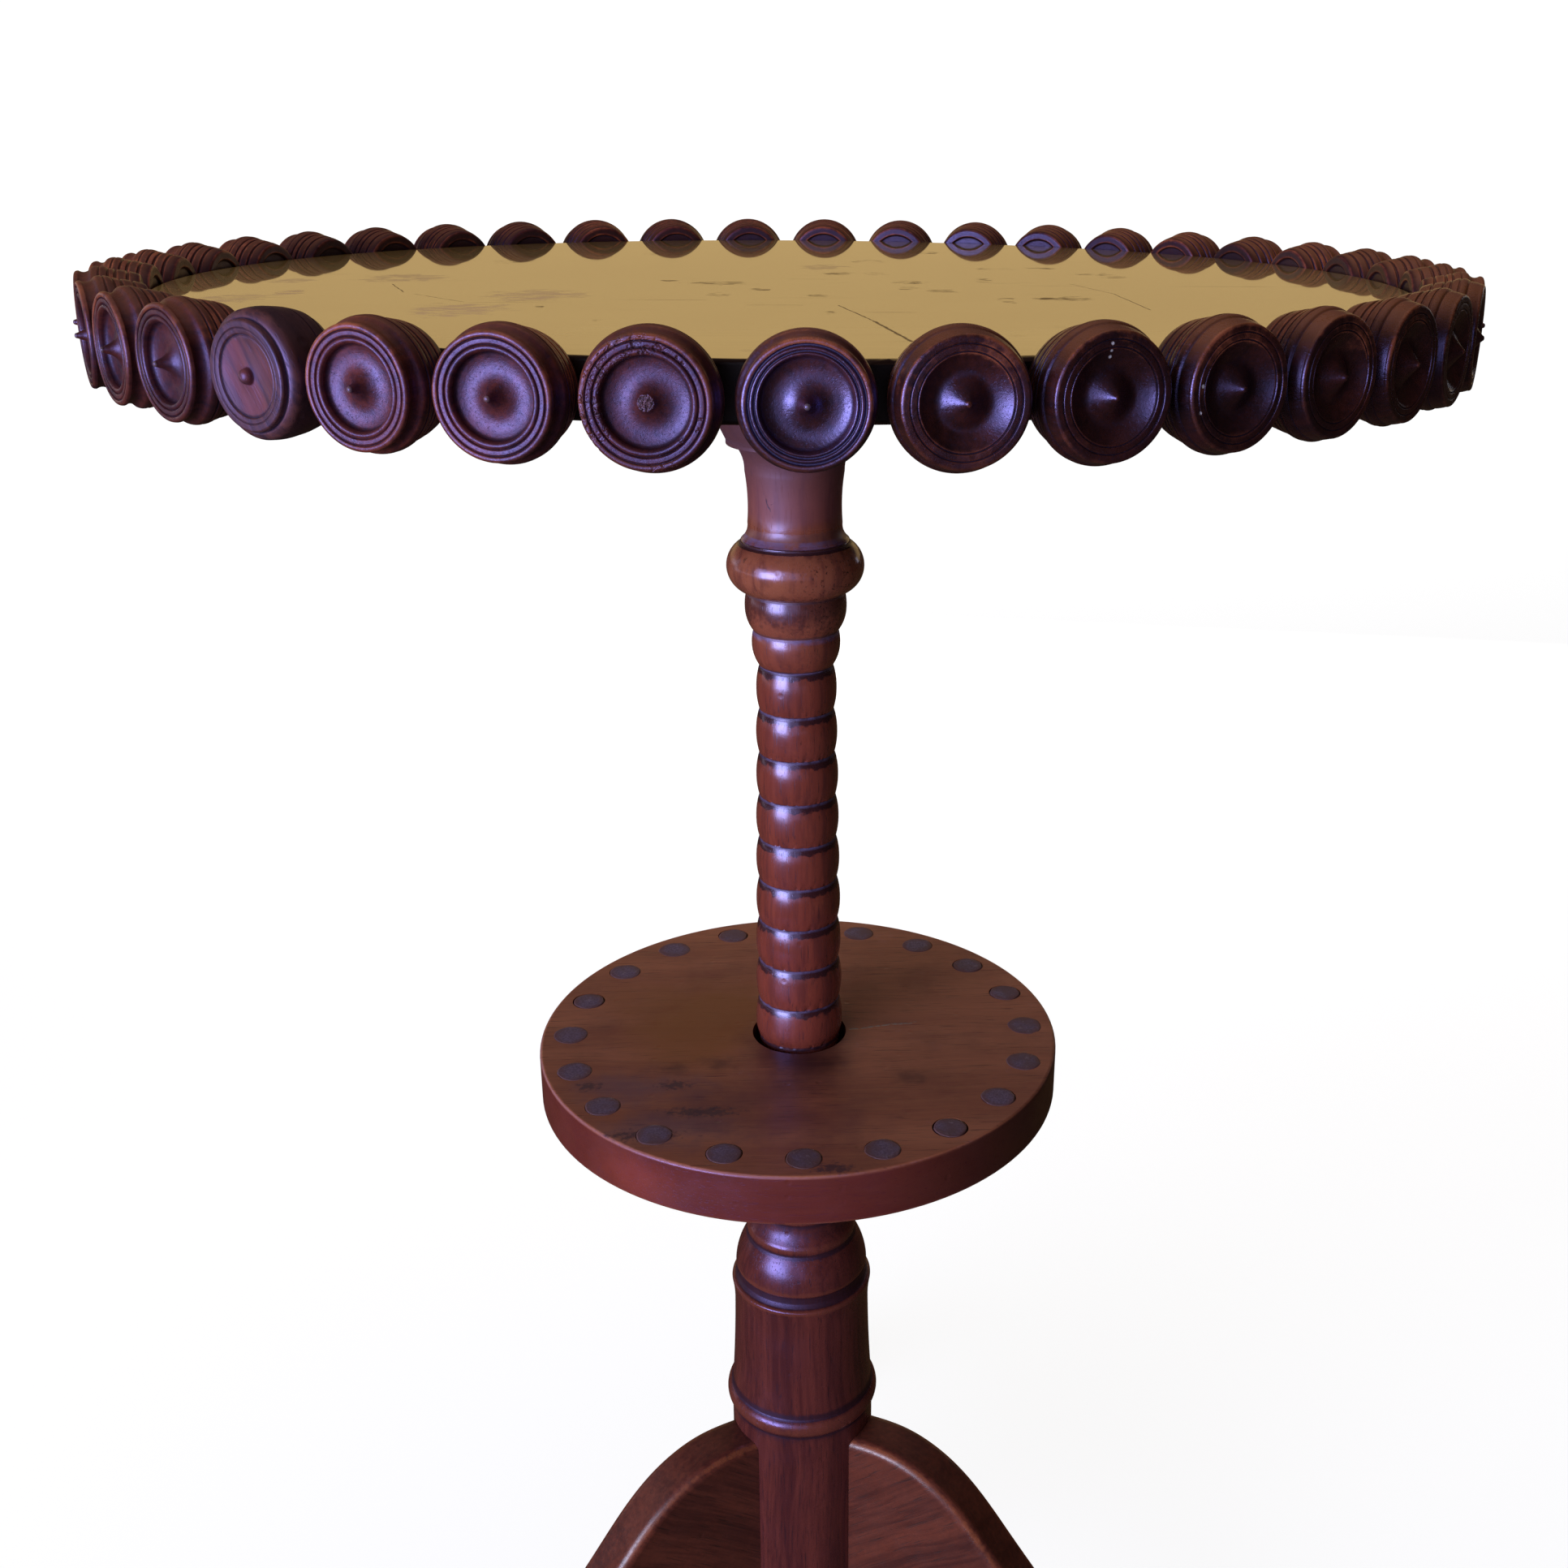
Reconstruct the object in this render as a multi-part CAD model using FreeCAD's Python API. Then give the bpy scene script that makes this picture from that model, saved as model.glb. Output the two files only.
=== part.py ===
import FreeCAD, Part
import math
import os
from FreeCAD import Vector

# Tripod side table with a round painted top, a rim of turned roundels, a turned column and a round shelf.
# Millimetres, floor at zero, column on the vertical axis through the origin, front towards -Y.

# Top board
board_radius = 250.0
board_thickness = 18.5
board_edge_round = 1.5

# Roundels round the board's edge, each held by a peg
roundel_radius = 19.6
roundel_depth = 22.5
roundel_gap = 3.2
roundel_seat_gap = 0.1
nipple_height = 4.0
peg_radius = 4.0
peg_in_board = 18.0
peg_in_roundel = 11.0
replaced_roundel = 36
first_fine_roundel = 2
last_fine_roundel = 8

# Block under the top, which takes the column's upper tenon
block_radius = 80.0
block_thickness = 22.0
block_chamfer = 6.0
block_screw_inset = 22.0
block_screw_count = 4
block_screw_length = 34.0

# Upper column, from its capital down to its lower tenon
capital_height = 26.5
capital_radius = 36.0
neck_height = 40.5
neck_radius = 20.4
collar_height = 26.3
collar_radius = 30.5
first_bead_height = 16.0
first_bead_radius = 22.5
second_bead_height = 15.7
second_bead_radius = 19.7
ring_count = 9
ring_height = 20.9
ring_top_radius = 18.2
ring_bottom_radius = 20.8
ring_groove_depth = 1.6
upper_tenon_radius = 18.0
lower_tenon_radius = 13.0
lower_tenon_length = 44.0

# Wedge that spreads the upper tenon
wedge_length = 30.0
wedge_depth = 16.0
wedge_top_thickness = 3.0
wedge_tip_thickness = 1.0

# Shelf and the plugs let into its top
shelf_radius = 125.0
shelf_thickness = 24.5
shelf_edge_round = 1.6
shelf_bore_gap = 2.0
plug_count = 20
plug_radius = 8.0
plug_depth = 12.0
plug_inset = 14.0

# Lower column: flange under the shelf, turned stem, plain body and the foot that the legs join
flange_radius = 42.0
flange_thickness = 8.0
flange_edge_round = 2.5
shelf_screw_inset = 8.5
shelf_screw_count = 4
shelf_screw_length = 20.0
stem_height = 108.0
body_height = 77.9
body_radius = 35.6
foot_height = 106.0
foot_radius = 37.0
foot_clearance = 62.0
foot_edge_round = 3.0

# Legs, dovetailed into the foot
leg_count = 3
leg_reach = 232.0
leg_thickness = 26.0
leg_top_drop = 10.0
leg_edge_round = 5.0
dovetail_depth = 13.0
dovetail_neck_width = 10.0
dovetail_root_width = 15.0
dovetail_top_drop = 20.0
dovetail_lap = 4.0

# Iron plate that ties the legs under the foot
plate_thickness = 2.5
plate_hub_radius = 24.0
plate_arm_width = 16.0
plate_arm_margin = 4.0
plate_inner_screw_place = 13.0
plate_arm_screw_inset = 8.0
plate_screw_length = 18.0

# Countersunk wood screws, one pattern throughout
screw_head_radius = 4.0
screw_head_height = 2.4
screw_shank_radius = 2.0
screw_point_length = 4.0
screw_slot_width = 0.9
screw_slot_depth = 1.0

# Clearances, and the length by which a cut runs past its piece
joint_gap = 0.1
cut_overrun = 5.0

# Heights that follow from the pieces standing on one another
foot_top = foot_clearance + foot_height
body_top = foot_top + body_height
flange_underside = body_top + stem_height
shelf_underside = flange_underside + flange_thickness
shelf_top = shelf_underside + shelf_thickness
rings_top = shelf_top + ring_count * ring_height
second_bead_top = rings_top + second_bead_height
first_bead_top = second_bead_top + first_bead_height
collar_top = first_bead_top + collar_height
neck_top = collar_top + neck_height
block_underside = neck_top + capital_height
board_underside = block_underside + block_thickness
board_top = board_underside + board_thickness
leg_top = foot_top - leg_top_drop

# Lengths under the foot that follow the leg's reach
leg_seat_share = 0.1385
leg_seat_end = foot_radius + leg_seat_share * (leg_reach - foot_radius)
plate_arm_reach = leg_seat_end - plate_arm_margin

# Roundels fill the rim: their widest band sets how many go round
widest_band_share = 0.6
roundel_circle = 2 * math.pi * (board_radius + widest_band_share * roundel_depth)
roundel_count = int(roundel_circle / (2 * roundel_radius + roundel_gap))

# Turned outlines, as shares of the radius and the height or depth that they follow.
# A step of one point is a straight line to it, one of two points an arc through the first to the second,
# and one of three points a smooth curve through them all.
roundel_back_shares = [
    (0.36, 0.0), (0.40, 0.045), (0.62, 0.045), (0.66, 0.0), (0.79, 0.0), (0.83, 0.014), (0.85, 0.05),
]
roundel_side_shares = [
    (0.89, 0.165), (0.862, 0.185), (0.862, 0.205), (0.902, 0.222), (0.93, 0.345), (0.90, 0.365), (0.90, 0.385),
    (0.94, 0.402), (0.95, 0.455), (0.925, 0.475), (0.958, 0.503), (0.984, 0.545), (1.0, 0.60), (0.99, 0.66),
    (0.972, 0.705), (0.945, 0.745), (0.922, 0.772), (0.915, 0.80), (0.925, 0.85), (0.92, 0.915), (0.904, 0.96),
    (0.882, 0.988), (0.865, 1.0),
]
bold_face_shares = [
    (0.845, 1.0), (0.832, 0.968), (0.812, 0.952), (0.795, 0.96), (0.785, 0.985), (0.768, 0.985), (0.757, 0.955),
    (0.742, 0.94), (0.727, 0.945), (0.718, 0.965), (0.70, 0.965),
    (0.61, 0.845, 0.51, 0.803, 0.40, 0.79), (0.26, 0.808, 0.14, 0.888, 0.075, 1.0),
]
fine_face_shares = [
    (0.838, 1.0), (0.826, 0.968), (0.812, 0.994), (0.775, 0.994), (0.762, 0.962), (0.748, 0.988), (0.73, 0.975),
    (0.62, 0.835, 0.51, 0.788, 0.40, 0.775), (0.26, 0.798, 0.145, 0.885, 0.08, 1.0),
]
nipple_shares = [(0.05, 0.62), (0.043, 0.84), (0.028, 0.96), (0.0, 1.0)]
replaced_side_shares = [
    (0.90, 0.11), (0.875, 0.125), (0.91, 0.14), (0.955, 0.30), (0.93, 0.315), (0.96, 0.33), (0.985, 0.52),
    (0.987, 0.60), (0.972, 0.68), (0.93, 0.735), (0.845, 0.755), (0.845, 0.90), (0.836, 0.945), (0.815, 0.973),
    (0.785, 0.985),
]
replaced_face_shares = [
    (0.72, 0.985), (0.708, 0.965), (0.696, 0.98), (0.63, 0.97), (0.61, 0.935), (0.588, 0.95),
    (0.48, 0.934, 0.36, 0.925, 0.17, 0.93), (0.155, 0.955), (0.148, 0.99), (0.12, 1.025), (0.07, 1.047), (0.0, 1.055),
]
capital_shares = [(0.972, 0.0), (1.0, 0.04), (1.0, 0.42), (0.93, 0.62, 0.845, 0.86), (0.82, 0.93), (0.82, 1.0)]
neck_shares = [(1.275, 0.0), (1.13, 0.11, 1.065, 0.29), (1.0, 0.68, 1.055, 0.985), (1.16, 1.0)]
collar_shares = [(0.80, 0.005), (0.808, 0.062), (0.785, 0.085), (1.0, 0.51, 0.735, 1.0)]
bead_shares = [(1.0, 0.02), (1.0, 0.36), (0.96, 0.72, 0.865, 1.0)]
ring_groove_shares = [(1.0, 0.035), (0.55, 0.045), (0.12, 0.16, 0.0, 0.30), (0.0, 0.58), (0.30, 0.86, 1.0, 1.0)]
stem_shares = [
    (0.80, 0.0), (0.70, 0.045, 0.675, 0.14), (0.70, 0.15), (0.765, 0.185, 0.70, 0.22), (0.66, 0.23),
    (0.79, 0.40, 0.665, 0.565), (0.69, 0.575), (0.69, 0.60), (0.675, 0.605), (0.70, 0.65, 0.765, 0.68),
    (0.775, 0.685), (0.822, 0.715, 0.80, 0.745), (0.815, 0.755), (0.90, 0.83, 0.932, 0.925), (0.92, 0.932),
    (0.885, 0.94), (0.885, 0.985), (0.955, 1.0),
]
body_shares = [
    (0.993, 0.006, 1.0, 0.03), (0.985, 0.07, 0.975, 0.12, 0.969, 0.18), (0.975, 0.40, 0.999, 0.63, 1.03, 0.86),
    (1.06, 0.87),
    (1.11, 0.93, 1.06, 0.985), (1.039, 0.99),
]

# Leg outline, as shares of the reach beyond the foot and of the leg's height
leg_back_shares = [
    (0.0, 0.995), (0.10, 0.995), (0.246, 0.925), (0.415, 0.715), (0.58, 0.483), (0.744, 0.285), (0.877, 0.177),
    (0.965, 0.125), (1.0, 0.06), (0.985, 0.0),
]
leg_belly_shares = [(0.282, 0.443), (0.426, 0.38), (0.58, 0.234), (0.713, 0.07), (0.785, 0.0)]
leg_top_share = 0.987


def turned(steps):
    """Solid turned about the vertical axis from a closed outline of radius and height."""
    edges = []
    here = Vector(steps[0][0], 0, steps[0][1])
    for step in steps[1:] + steps[:1]:
        points = [here] + [Vector(r, 0, h) for r, h in zip(step[0::2], step[1::2])]
        if len(points) == 2:
            edges.append(Part.makeLine(*points))
        elif len(points) == 3:
            edges.append(Part.Arc(*points).toShape())
        else:
            curve = Part.BSplineCurve()
            curve.interpolate(points)
            edges.append(curve.toShape())
        here = points[-1]
    face = Part.Face(Part.Wire(edges))
    return face.revolve(Vector(), Vector(0, 0, 1), 360)


def placed(shares, radius, start, length):
    """Outline steps in real sizes: radius shares times a radius, height shares run from a start along a length."""
    steps = []
    for step in shares:
        pairs = zip(step[0::2], step[1::2])
        steps.append(tuple(value for r, h in pairs for value in (r * radius, start + h * length)))
    return steps


def rod(radius, low, high):
    """Upright cylinder on the axis between two heights."""
    return Part.makeCylinder(radius, high - low, Vector(0, 0, low))


def ring_places(radius, count, first_angle=0.0):
    """Points evenly spaced on a circle about the axis."""
    angles = [first_angle + 2 * math.pi * k / count for k in range(count)]
    return [Vector(radius * math.cos(a), radius * math.sin(a), 0) for a in angles]


def moved(shape, place, height):
    """Copy of a shape moved to a place seen from above, and up to a height."""
    copy = shape.copy()
    copy.translate(Vector(place.x, place.y, height))
    return copy


def cut_by(shape, tools):
    """The one solid left when a list of tools is cut from a shape."""
    return shape.cut(Part.makeCompound(tools)).Solids[0]


def wood_screw(length):
    """Screw pointing up, its head's flat at height zero, with a slot across the head."""
    body = turned([
        (0, 0), (screw_head_radius, 0), (screw_shank_radius, screw_head_height),
        (screw_shank_radius, length - screw_point_length), (0, length),
    ])
    slot_length = 2 * (screw_head_radius + cut_overrun)
    corner = Vector(-slot_length / 2, -screw_slot_width / 2, -cut_overrun)
    slot = Part.makeBox(slot_length, screw_slot_width, cut_overrun + screw_slot_depth, corner)
    return cut_by(body, [slot])


def screw_hole(length):
    """Countersunk hole that the screw of that length drops into, open below."""
    return turned([
        (0, -cut_overrun), (screw_head_radius + joint_gap, -cut_overrun), (screw_head_radius + joint_gap, 0),
        (screw_shank_radius + joint_gap, screw_head_height), (screw_shank_radius + joint_gap, length + joint_gap),
        (0, length + joint_gap),
    ])


def on_rim(shape, index):
    """Copy of a piece built on the vertical axis, laid outwards at the board's edge and turned to its place."""
    copy = shape.copy()
    copy.rotate(Vector(), Vector(0, 1, 0), 90)
    copy.translate(Vector(board_radius, 0, board_underside + board_thickness / 2))
    copy.rotate(Vector(), Vector(0, 0, 1), 360 * index / roundel_count - 90)
    return copy


def roundel(number):
    """Turned roundel with a blind hole for its peg; its back seats on the board's edge."""
    start = roundel_seat_gap
    hole_radius = peg_radius + joint_gap
    hole_end = peg_in_roundel + joint_gap
    back = placed(roundel_back_shares, roundel_radius, start, roundel_depth)
    if number == replaced_roundel:
        front = placed(replaced_side_shares + replaced_face_shares, roundel_radius, start, roundel_depth)
    else:
        is_fine = first_fine_roundel <= number <= last_fine_roundel
        face_shares = fine_face_shares if is_fine else bold_face_shares
        front = placed(roundel_side_shares + face_shares, roundel_radius, start, roundel_depth)
        front += placed(nipple_shares, roundel_radius, start + roundel_depth, nipple_height)
    return turned([(0, hole_end), (hole_radius, hole_end), (hole_radius, start)] + back + front)


def roundel_peg():
    """Plain dowel, half in the board's edge and half in the roundel."""
    return rod(peg_radius, -peg_in_board, peg_in_roundel)


def top_board():
    """Round board with eased edges, bored round its edge for the pegs and below for the block's screws."""
    low = board_underside
    high = board_top
    ease = board_edge_round
    corner = ease * (1 - math.sqrt(0.5))
    board = turned([
        (0, low), (board_radius - ease, low), (board_radius - corner, low + corner, board_radius, low + ease),
        (board_radius, high - ease), (board_radius - corner, high - corner, board_radius - ease, high), (0, high),
    ])
    peg_hole = rod(peg_radius + joint_gap, -peg_in_board - joint_gap, cut_overrun)
    holes = [on_rim(peg_hole, k) for k in range(roundel_count)]
    holes += [moved(screw_hole(block_screw_length), p, block_underside) for p in block_screw_places()]
    return cut_by(board, holes)


def block_screw_places():
    return ring_places(block_radius - block_screw_inset, block_screw_count, math.pi / block_screw_count)


def top_block():
    """Round block with a chamfered lower edge, bored for the column's tenon and for its own screws."""
    low = block_underside
    block = turned([
        (0, low), (block_radius - block_chamfer, low), (block_radius, low + block_chamfer),
        (block_radius, board_underside), (0, board_underside),
    ])
    holes = [rod(upper_tenon_radius + joint_gap, low - cut_overrun, board_underside + cut_overrun)]
    holes += [moved(screw_hole(block_screw_length), p, low) for p in block_screw_places()]
    return cut_by(block, holes)


def wedge(gap):
    """Wedge across the upper tenon, thick end up; the gap widens it into its kerf."""
    high = board_underside - joint_gap
    low = high - wedge_depth - gap
    half_top = wedge_top_thickness / 2 + gap
    half_tip = wedge_tip_thickness / 2 + gap
    half_length = wedge_length / 2 + gap
    corners = [
        Vector(-half_length, -half_tip, low), Vector(-half_length, half_tip, low),
        Vector(-half_length, half_top, high), Vector(-half_length, -half_top, high),
    ]
    face = Part.Face(Part.makePolygon(corners + corners[:1]))
    return face.extrude(Vector(2 * half_length, 0, 0))


def ring_steps():
    """Outline of the nine rings from the top down, their radius growing from first to last."""
    steps = []
    for k in range(ring_count):
        radius = ring_top_radius + (ring_bottom_radius - ring_top_radius) * k / (ring_count - 1)
        high = rings_top - k * ring_height
        for step in ring_groove_shares:
            pairs = zip(step[0::2], step[1::2])
            steps.append(tuple(v for g, h in pairs for v in (radius - g * ring_groove_depth, high - h * ring_height)))
    return steps


def upper_column():
    """Turned column: upper tenon with its kerf, capital, neck, collar, beads, rings and lower tenon."""
    tenon_top = board_underside - joint_gap
    steps = [(0, tenon_top), (upper_tenon_radius, tenon_top), (upper_tenon_radius, block_underside)]
    steps += placed(capital_shares, capital_radius, block_underside, -capital_height)
    steps += placed(neck_shares, neck_radius, neck_top, -neck_height)
    steps += placed(collar_shares, collar_radius, collar_top, -collar_height)
    steps += placed(bead_shares, first_bead_radius, first_bead_top, -first_bead_height)
    steps += placed(bead_shares, second_bead_radius, second_bead_top, -second_bead_height)
    steps += ring_steps()
    shaft_radius = ring_bottom_radius - ring_groove_depth
    tenon_low = shelf_underside - lower_tenon_length
    steps += [(shaft_radius, shelf_underside), (lower_tenon_radius, shelf_underside)]
    steps += [(lower_tenon_radius, tenon_low), (0, tenon_low)]
    return cut_by(turned(steps), [wedge(joint_gap)])


def plug_places():
    return ring_places(shelf_radius - plug_inset, plug_count, -math.pi / 2)


def shelf_screw_places():
    return ring_places(flange_radius - shelf_screw_inset, shelf_screw_count, math.pi / shelf_screw_count)


def shelf():
    """Round shelf with eased edges, bored loosely for the column, for the plugs and for the flange's screws."""
    low = shelf_underside
    high = shelf_top
    ease = shelf_edge_round
    corner = ease * (1 - math.sqrt(0.5))
    bore = ring_bottom_radius + shelf_bore_gap
    board = turned([
        (bore, low), (shelf_radius - ease, low), (shelf_radius - corner, low + corner, shelf_radius, low + ease),
        (shelf_radius, high - ease), (shelf_radius - corner, high - corner, shelf_radius - ease, high), (bore, high),
    ])
    plug_hole = rod(plug_radius + joint_gap, high - plug_depth - joint_gap, high + cut_overrun)
    holes = [moved(plug_hole, p, 0) for p in plug_places()]
    holes += [moved(screw_hole(shelf_screw_length), p, flange_underside) for p in shelf_screw_places()]
    return cut_by(board, holes)


def shelf_plug():
    """Round plug flush with the shelf's top."""
    return rod(plug_radius, shelf_top - plug_depth, shelf_top)


def leg_angles():
    return [90 + 360 * k / leg_count for k in range(leg_count)]


def turned_to(shape, angle):
    """Copy of a shape turned about the vertical axis."""
    copy = shape.copy()
    copy.rotate(Vector(), Vector(0, 0, 1), angle)
    return copy


def dovetail(gap, low, outer):
    """Dovetail tongue on the +X side of the foot; the gap widens it into its socket."""
    root = foot_radius - dovetail_depth - gap
    half_root = dovetail_root_width / 2 + gap
    half_neck = dovetail_neck_width / 2 + gap
    high = foot_top - dovetail_top_drop + gap
    corners = [
        Vector(root, -half_root, low), Vector(foot_radius, -half_neck, low), Vector(outer, -half_neck, low),
        Vector(outer, half_neck, low), Vector(foot_radius, half_neck, low), Vector(root, half_root, low),
    ]
    face = Part.Face(Part.makePolygon(corners + corners[:1]))
    return face.extrude(Vector(0, 0, high - low))


def plate_screw_places():
    """Two screws along each arm of the plate: one into the foot, one into the leg."""
    distances = [plate_inner_screw_place, plate_arm_reach - plate_arm_screw_inset]
    angles = [math.radians(a) for a in leg_angles()]
    return [Vector(d * math.cos(a), d * math.sin(a), 0) for a in angles for d in distances]


def plate_screw_holes():
    hole = screw_hole(plate_screw_length)
    return [moved(hole, p, foot_clearance - plate_thickness) for p in plate_screw_places()]


def lower_column():
    """Turned lower column with a socket for the upper column, screw holes in its flange and the legs' sockets."""
    ease = flange_edge_round
    corner = ease * (1 - math.sqrt(0.5))
    socket_radius = lower_tenon_radius + joint_gap
    socket_low = shelf_underside - lower_tenon_length - joint_gap
    low = foot_clearance
    steps = [
        (0, socket_low), (socket_radius, socket_low), (socket_radius, shelf_underside),
        (flange_radius - ease, shelf_underside),
        (flange_radius - corner, shelf_underside - corner, flange_radius, shelf_underside - ease),
        (flange_radius, flange_underside + ease),
        (flange_radius - corner, flange_underside + corner, flange_radius - ease, flange_underside),
    ]
    steps += placed(stem_shares, body_radius, flange_underside, -stem_height)
    steps += placed(body_shares, body_radius, body_top, -body_height)
    foot_corner = foot_edge_round * (1 - math.sqrt(0.5))
    steps += [
        (foot_radius, foot_top), (foot_radius, low + foot_edge_round),
        (foot_radius - foot_corner, low + foot_corner, foot_radius - foot_edge_round, low), (0, low),
    ]
    socket = dovetail(joint_gap, low - cut_overrun, foot_radius + cut_overrun)
    holes = [turned_to(socket, a) for a in leg_angles()]
    holes += [moved(screw_hole(shelf_screw_length), p, flange_underside) for p in shelf_screw_places()]
    return cut_by(turned(steps), holes + plate_screw_holes())


def leg_point(x_share, z_share):
    return Vector(foot_radius + x_share * (leg_reach - foot_radius), 0, z_share * leg_top)


def leg():
    """Swept leg on the +X side: curved board with rounded edges, hollowed to the foot, with its dovetail."""
    top_inside = Vector(0, 0, leg_top_share * leg_top)
    back = [leg_point(*share) for share in leg_back_shares]
    seat = Vector(leg_seat_end, 0, foot_clearance)
    belly = [leg_point(*share) for share in leg_belly_shares]
    low_inside = Vector(0, 0, foot_clearance)
    outwards = Vector(leg_reach, 0, 0)
    back_curve = Part.BSplineCurve()
    back_curve.interpolate([top_inside] + back)
    belly_curve = Part.BSplineCurve()
    belly_curve.interpolate(Points=[seat] + belly, InitialTangent=outwards, FinalTangent=belly[-1] - belly[-2])
    edges = [
        back_curve.toShape(), Part.makeLine(back[-1], belly[-1]), belly_curve.toShape(),
        Part.makeLine(seat, low_inside), Part.makeLine(low_inside, top_inside),
    ]
    face = Part.Face(Part.Wire(edges))
    face.translate(Vector(0, -leg_thickness / 2, 0))
    board = face.extrude(Vector(0, leg_thickness, 0))
    board = board.makeFillet(leg_edge_round, [e for e in board.Edges if is_leg_arris(e)])
    board = cut_by(board, [rod(foot_radius + joint_gap, -cut_overrun, foot_top + cut_overrun)])
    return board.fuse(dovetail(0, foot_clearance, foot_radius + dovetail_lap)).removeSplitter().Solids[0]


def is_leg_arris(edge):
    """True for the edges along the leg's back and belly, in either side face, but not at the floor or the axis."""
    box = edge.BoundBox
    in_side_face = box.YLength < joint_gap
    on_floor = box.ZMax < joint_gap
    at_axis = box.XMax < joint_gap
    return in_side_face and not on_floor and not at_axis


def bored_leg(angle):
    """Leg at its place round the foot, with the hole for the plate's screw."""
    return cut_by(turned_to(leg(), angle), plate_screw_holes())


def spider_plate():
    """Iron plate with a round hub and an arm under each leg, countersunk for its screws."""
    low = foot_clearance - plate_thickness
    corner = Vector(0, -plate_arm_width / 2, low)
    straight = plate_arm_reach - plate_arm_width / 2
    arm = Part.makeBox(straight, plate_arm_width, plate_thickness, corner)
    arm_end = moved(rod(plate_arm_width / 2, low, foot_clearance), Vector(straight, 0, 0), 0)
    pieces = [turned_to(piece, a) for a in leg_angles() for piece in (arm, arm_end)]
    plate = rod(plate_hub_radius, low, foot_clearance).fuse(pieces).removeSplitter()
    return cut_by(plate, plate_screw_holes())


def save(name, shape):
    shape.exportStep("parts/" + name + ".step")
    print(name, "solids", len(shape.Solids), "valid", shape.isValid(), "volume", round(shape.Volume))


def group(shape, places, height):
    return Part.makeCompound([moved(shape, p, height) for p in places])


os.makedirs("parts", exist_ok=True)
save("top_board", top_board())
for index in range(roundel_count):
    save("roundel_%02d" % (index + 1), on_rim(roundel(index + 1), index))
save("roundel_pegs", Part.makeCompound([on_rim(roundel_peg(), k) for k in range(roundel_count)]))
save("top_block", top_block())
save("block_screws", group(wood_screw(block_screw_length), block_screw_places(), block_underside))
save("upper_column", upper_column())
save("tenon_wedge", wedge(0))
save("shelf", shelf())
save("shelf_plugs", group(shelf_plug(), plug_places(), 0))
save("shelf_screws", group(wood_screw(shelf_screw_length), shelf_screw_places(), flange_underside))
save("lower_column", lower_column())
for index, angle in enumerate(leg_angles()):
    save("leg_%d" % (index + 1), bored_leg(angle))
save("spider_plate", spider_plate())
save("spider_screws", group(wood_screw(plate_screw_length), plate_screw_places(), foot_clearance - plate_thickness))
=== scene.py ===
import cmath
import math
import random

import bpy
import numpy as np
from mathutils import Matrix, Vector, noise


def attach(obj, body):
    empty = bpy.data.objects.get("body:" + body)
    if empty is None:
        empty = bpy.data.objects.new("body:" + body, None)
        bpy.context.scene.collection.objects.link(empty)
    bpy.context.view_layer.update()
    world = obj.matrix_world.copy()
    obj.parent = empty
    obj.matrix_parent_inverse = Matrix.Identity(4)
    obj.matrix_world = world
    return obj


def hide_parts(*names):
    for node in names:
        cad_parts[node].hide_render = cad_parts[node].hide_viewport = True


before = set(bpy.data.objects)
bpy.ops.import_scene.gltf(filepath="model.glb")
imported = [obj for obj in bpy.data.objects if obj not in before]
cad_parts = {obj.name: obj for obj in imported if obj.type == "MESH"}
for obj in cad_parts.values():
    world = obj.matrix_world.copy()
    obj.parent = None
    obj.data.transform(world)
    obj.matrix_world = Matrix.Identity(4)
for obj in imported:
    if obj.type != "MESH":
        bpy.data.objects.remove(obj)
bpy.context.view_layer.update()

# Lower column.
# One length of dark mahogany turned between centres: a flange that the shelf is screwed to, a beaded stem, a plain
# body and a straight foot socketed for the legs. Wax polished, with old dirt left in the hollows.

lower_column_steps = [
    (0, 62), (34, 62), (36.1, 62.9, 37, 65), (37, 168), (37.7, 169.2), (39.5, 173.5, 37.7, 178.1), (36.7, 178.9),
    (35.6, 196.8, 34.5, 231.9), (34.7, 236.6, 35.6, 243.6), (35.4, 245.4, 34, 245.9), (32.4, 248), (32.4, 251.8),
    (33.3, 252.8), (33.6, 253.8), (32, 262.8, 27.7, 271.8), (27.2, 272.8), (27.6, 275.8, 26.1, 279), (25.7, 279.7),
    (24, 283.4, 23.3, 288.6), (23.9, 289.1), (23.9, 291.8), (23.3, 292.9), (27.9, 310.7, 23.5, 329.1), (24.9, 330.1),
    (27.2, 333.9, 24.9, 337.7), (24, 338.8), (24.9, 349, 28.5, 353.9), (39.5, 353.9), (41.3, 354.6, 42, 356.4),
    (42, 359.4), (41.3, 361.2, 39.5, 361.9), (13.1, 361.9), (13.1, 317.8), (0, 317.8),
]


def turner_outline(steps, spacing):
    """Points along a turned outline as complex numbers, radius and height in millimetres. A step of one point is a
    straight run to it, a step of two points an arc through the first to the second."""
    points = [complex(*steps[0])]
    for step in steps[1:]:
        start, end = points[-1], complex(*step[-2:])
        if len(step) == 2:
            count = max(1, round(abs(end - start) / spacing))
            points += [start + (end - start) * k / count for k in range(1, count + 1)]
            continue
        middle = complex(*step[:2])
        lean = (end - start) / (middle - start)
        centre = start + (middle - start) * (lean - abs(lean) ** 2) / (2j * lean.imag)
        sweep = cmath.phase((middle - centre) / (start - centre)) + cmath.phase((end - centre) / (middle - centre))
        count = max(2, round(abs(sweep * (start - centre)) / spacing))
        points += [centre + (start - centre) * cmath.exp(1j * sweep * k / count) for k in range(1, count + 1)]
    return np.array(points)


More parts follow.
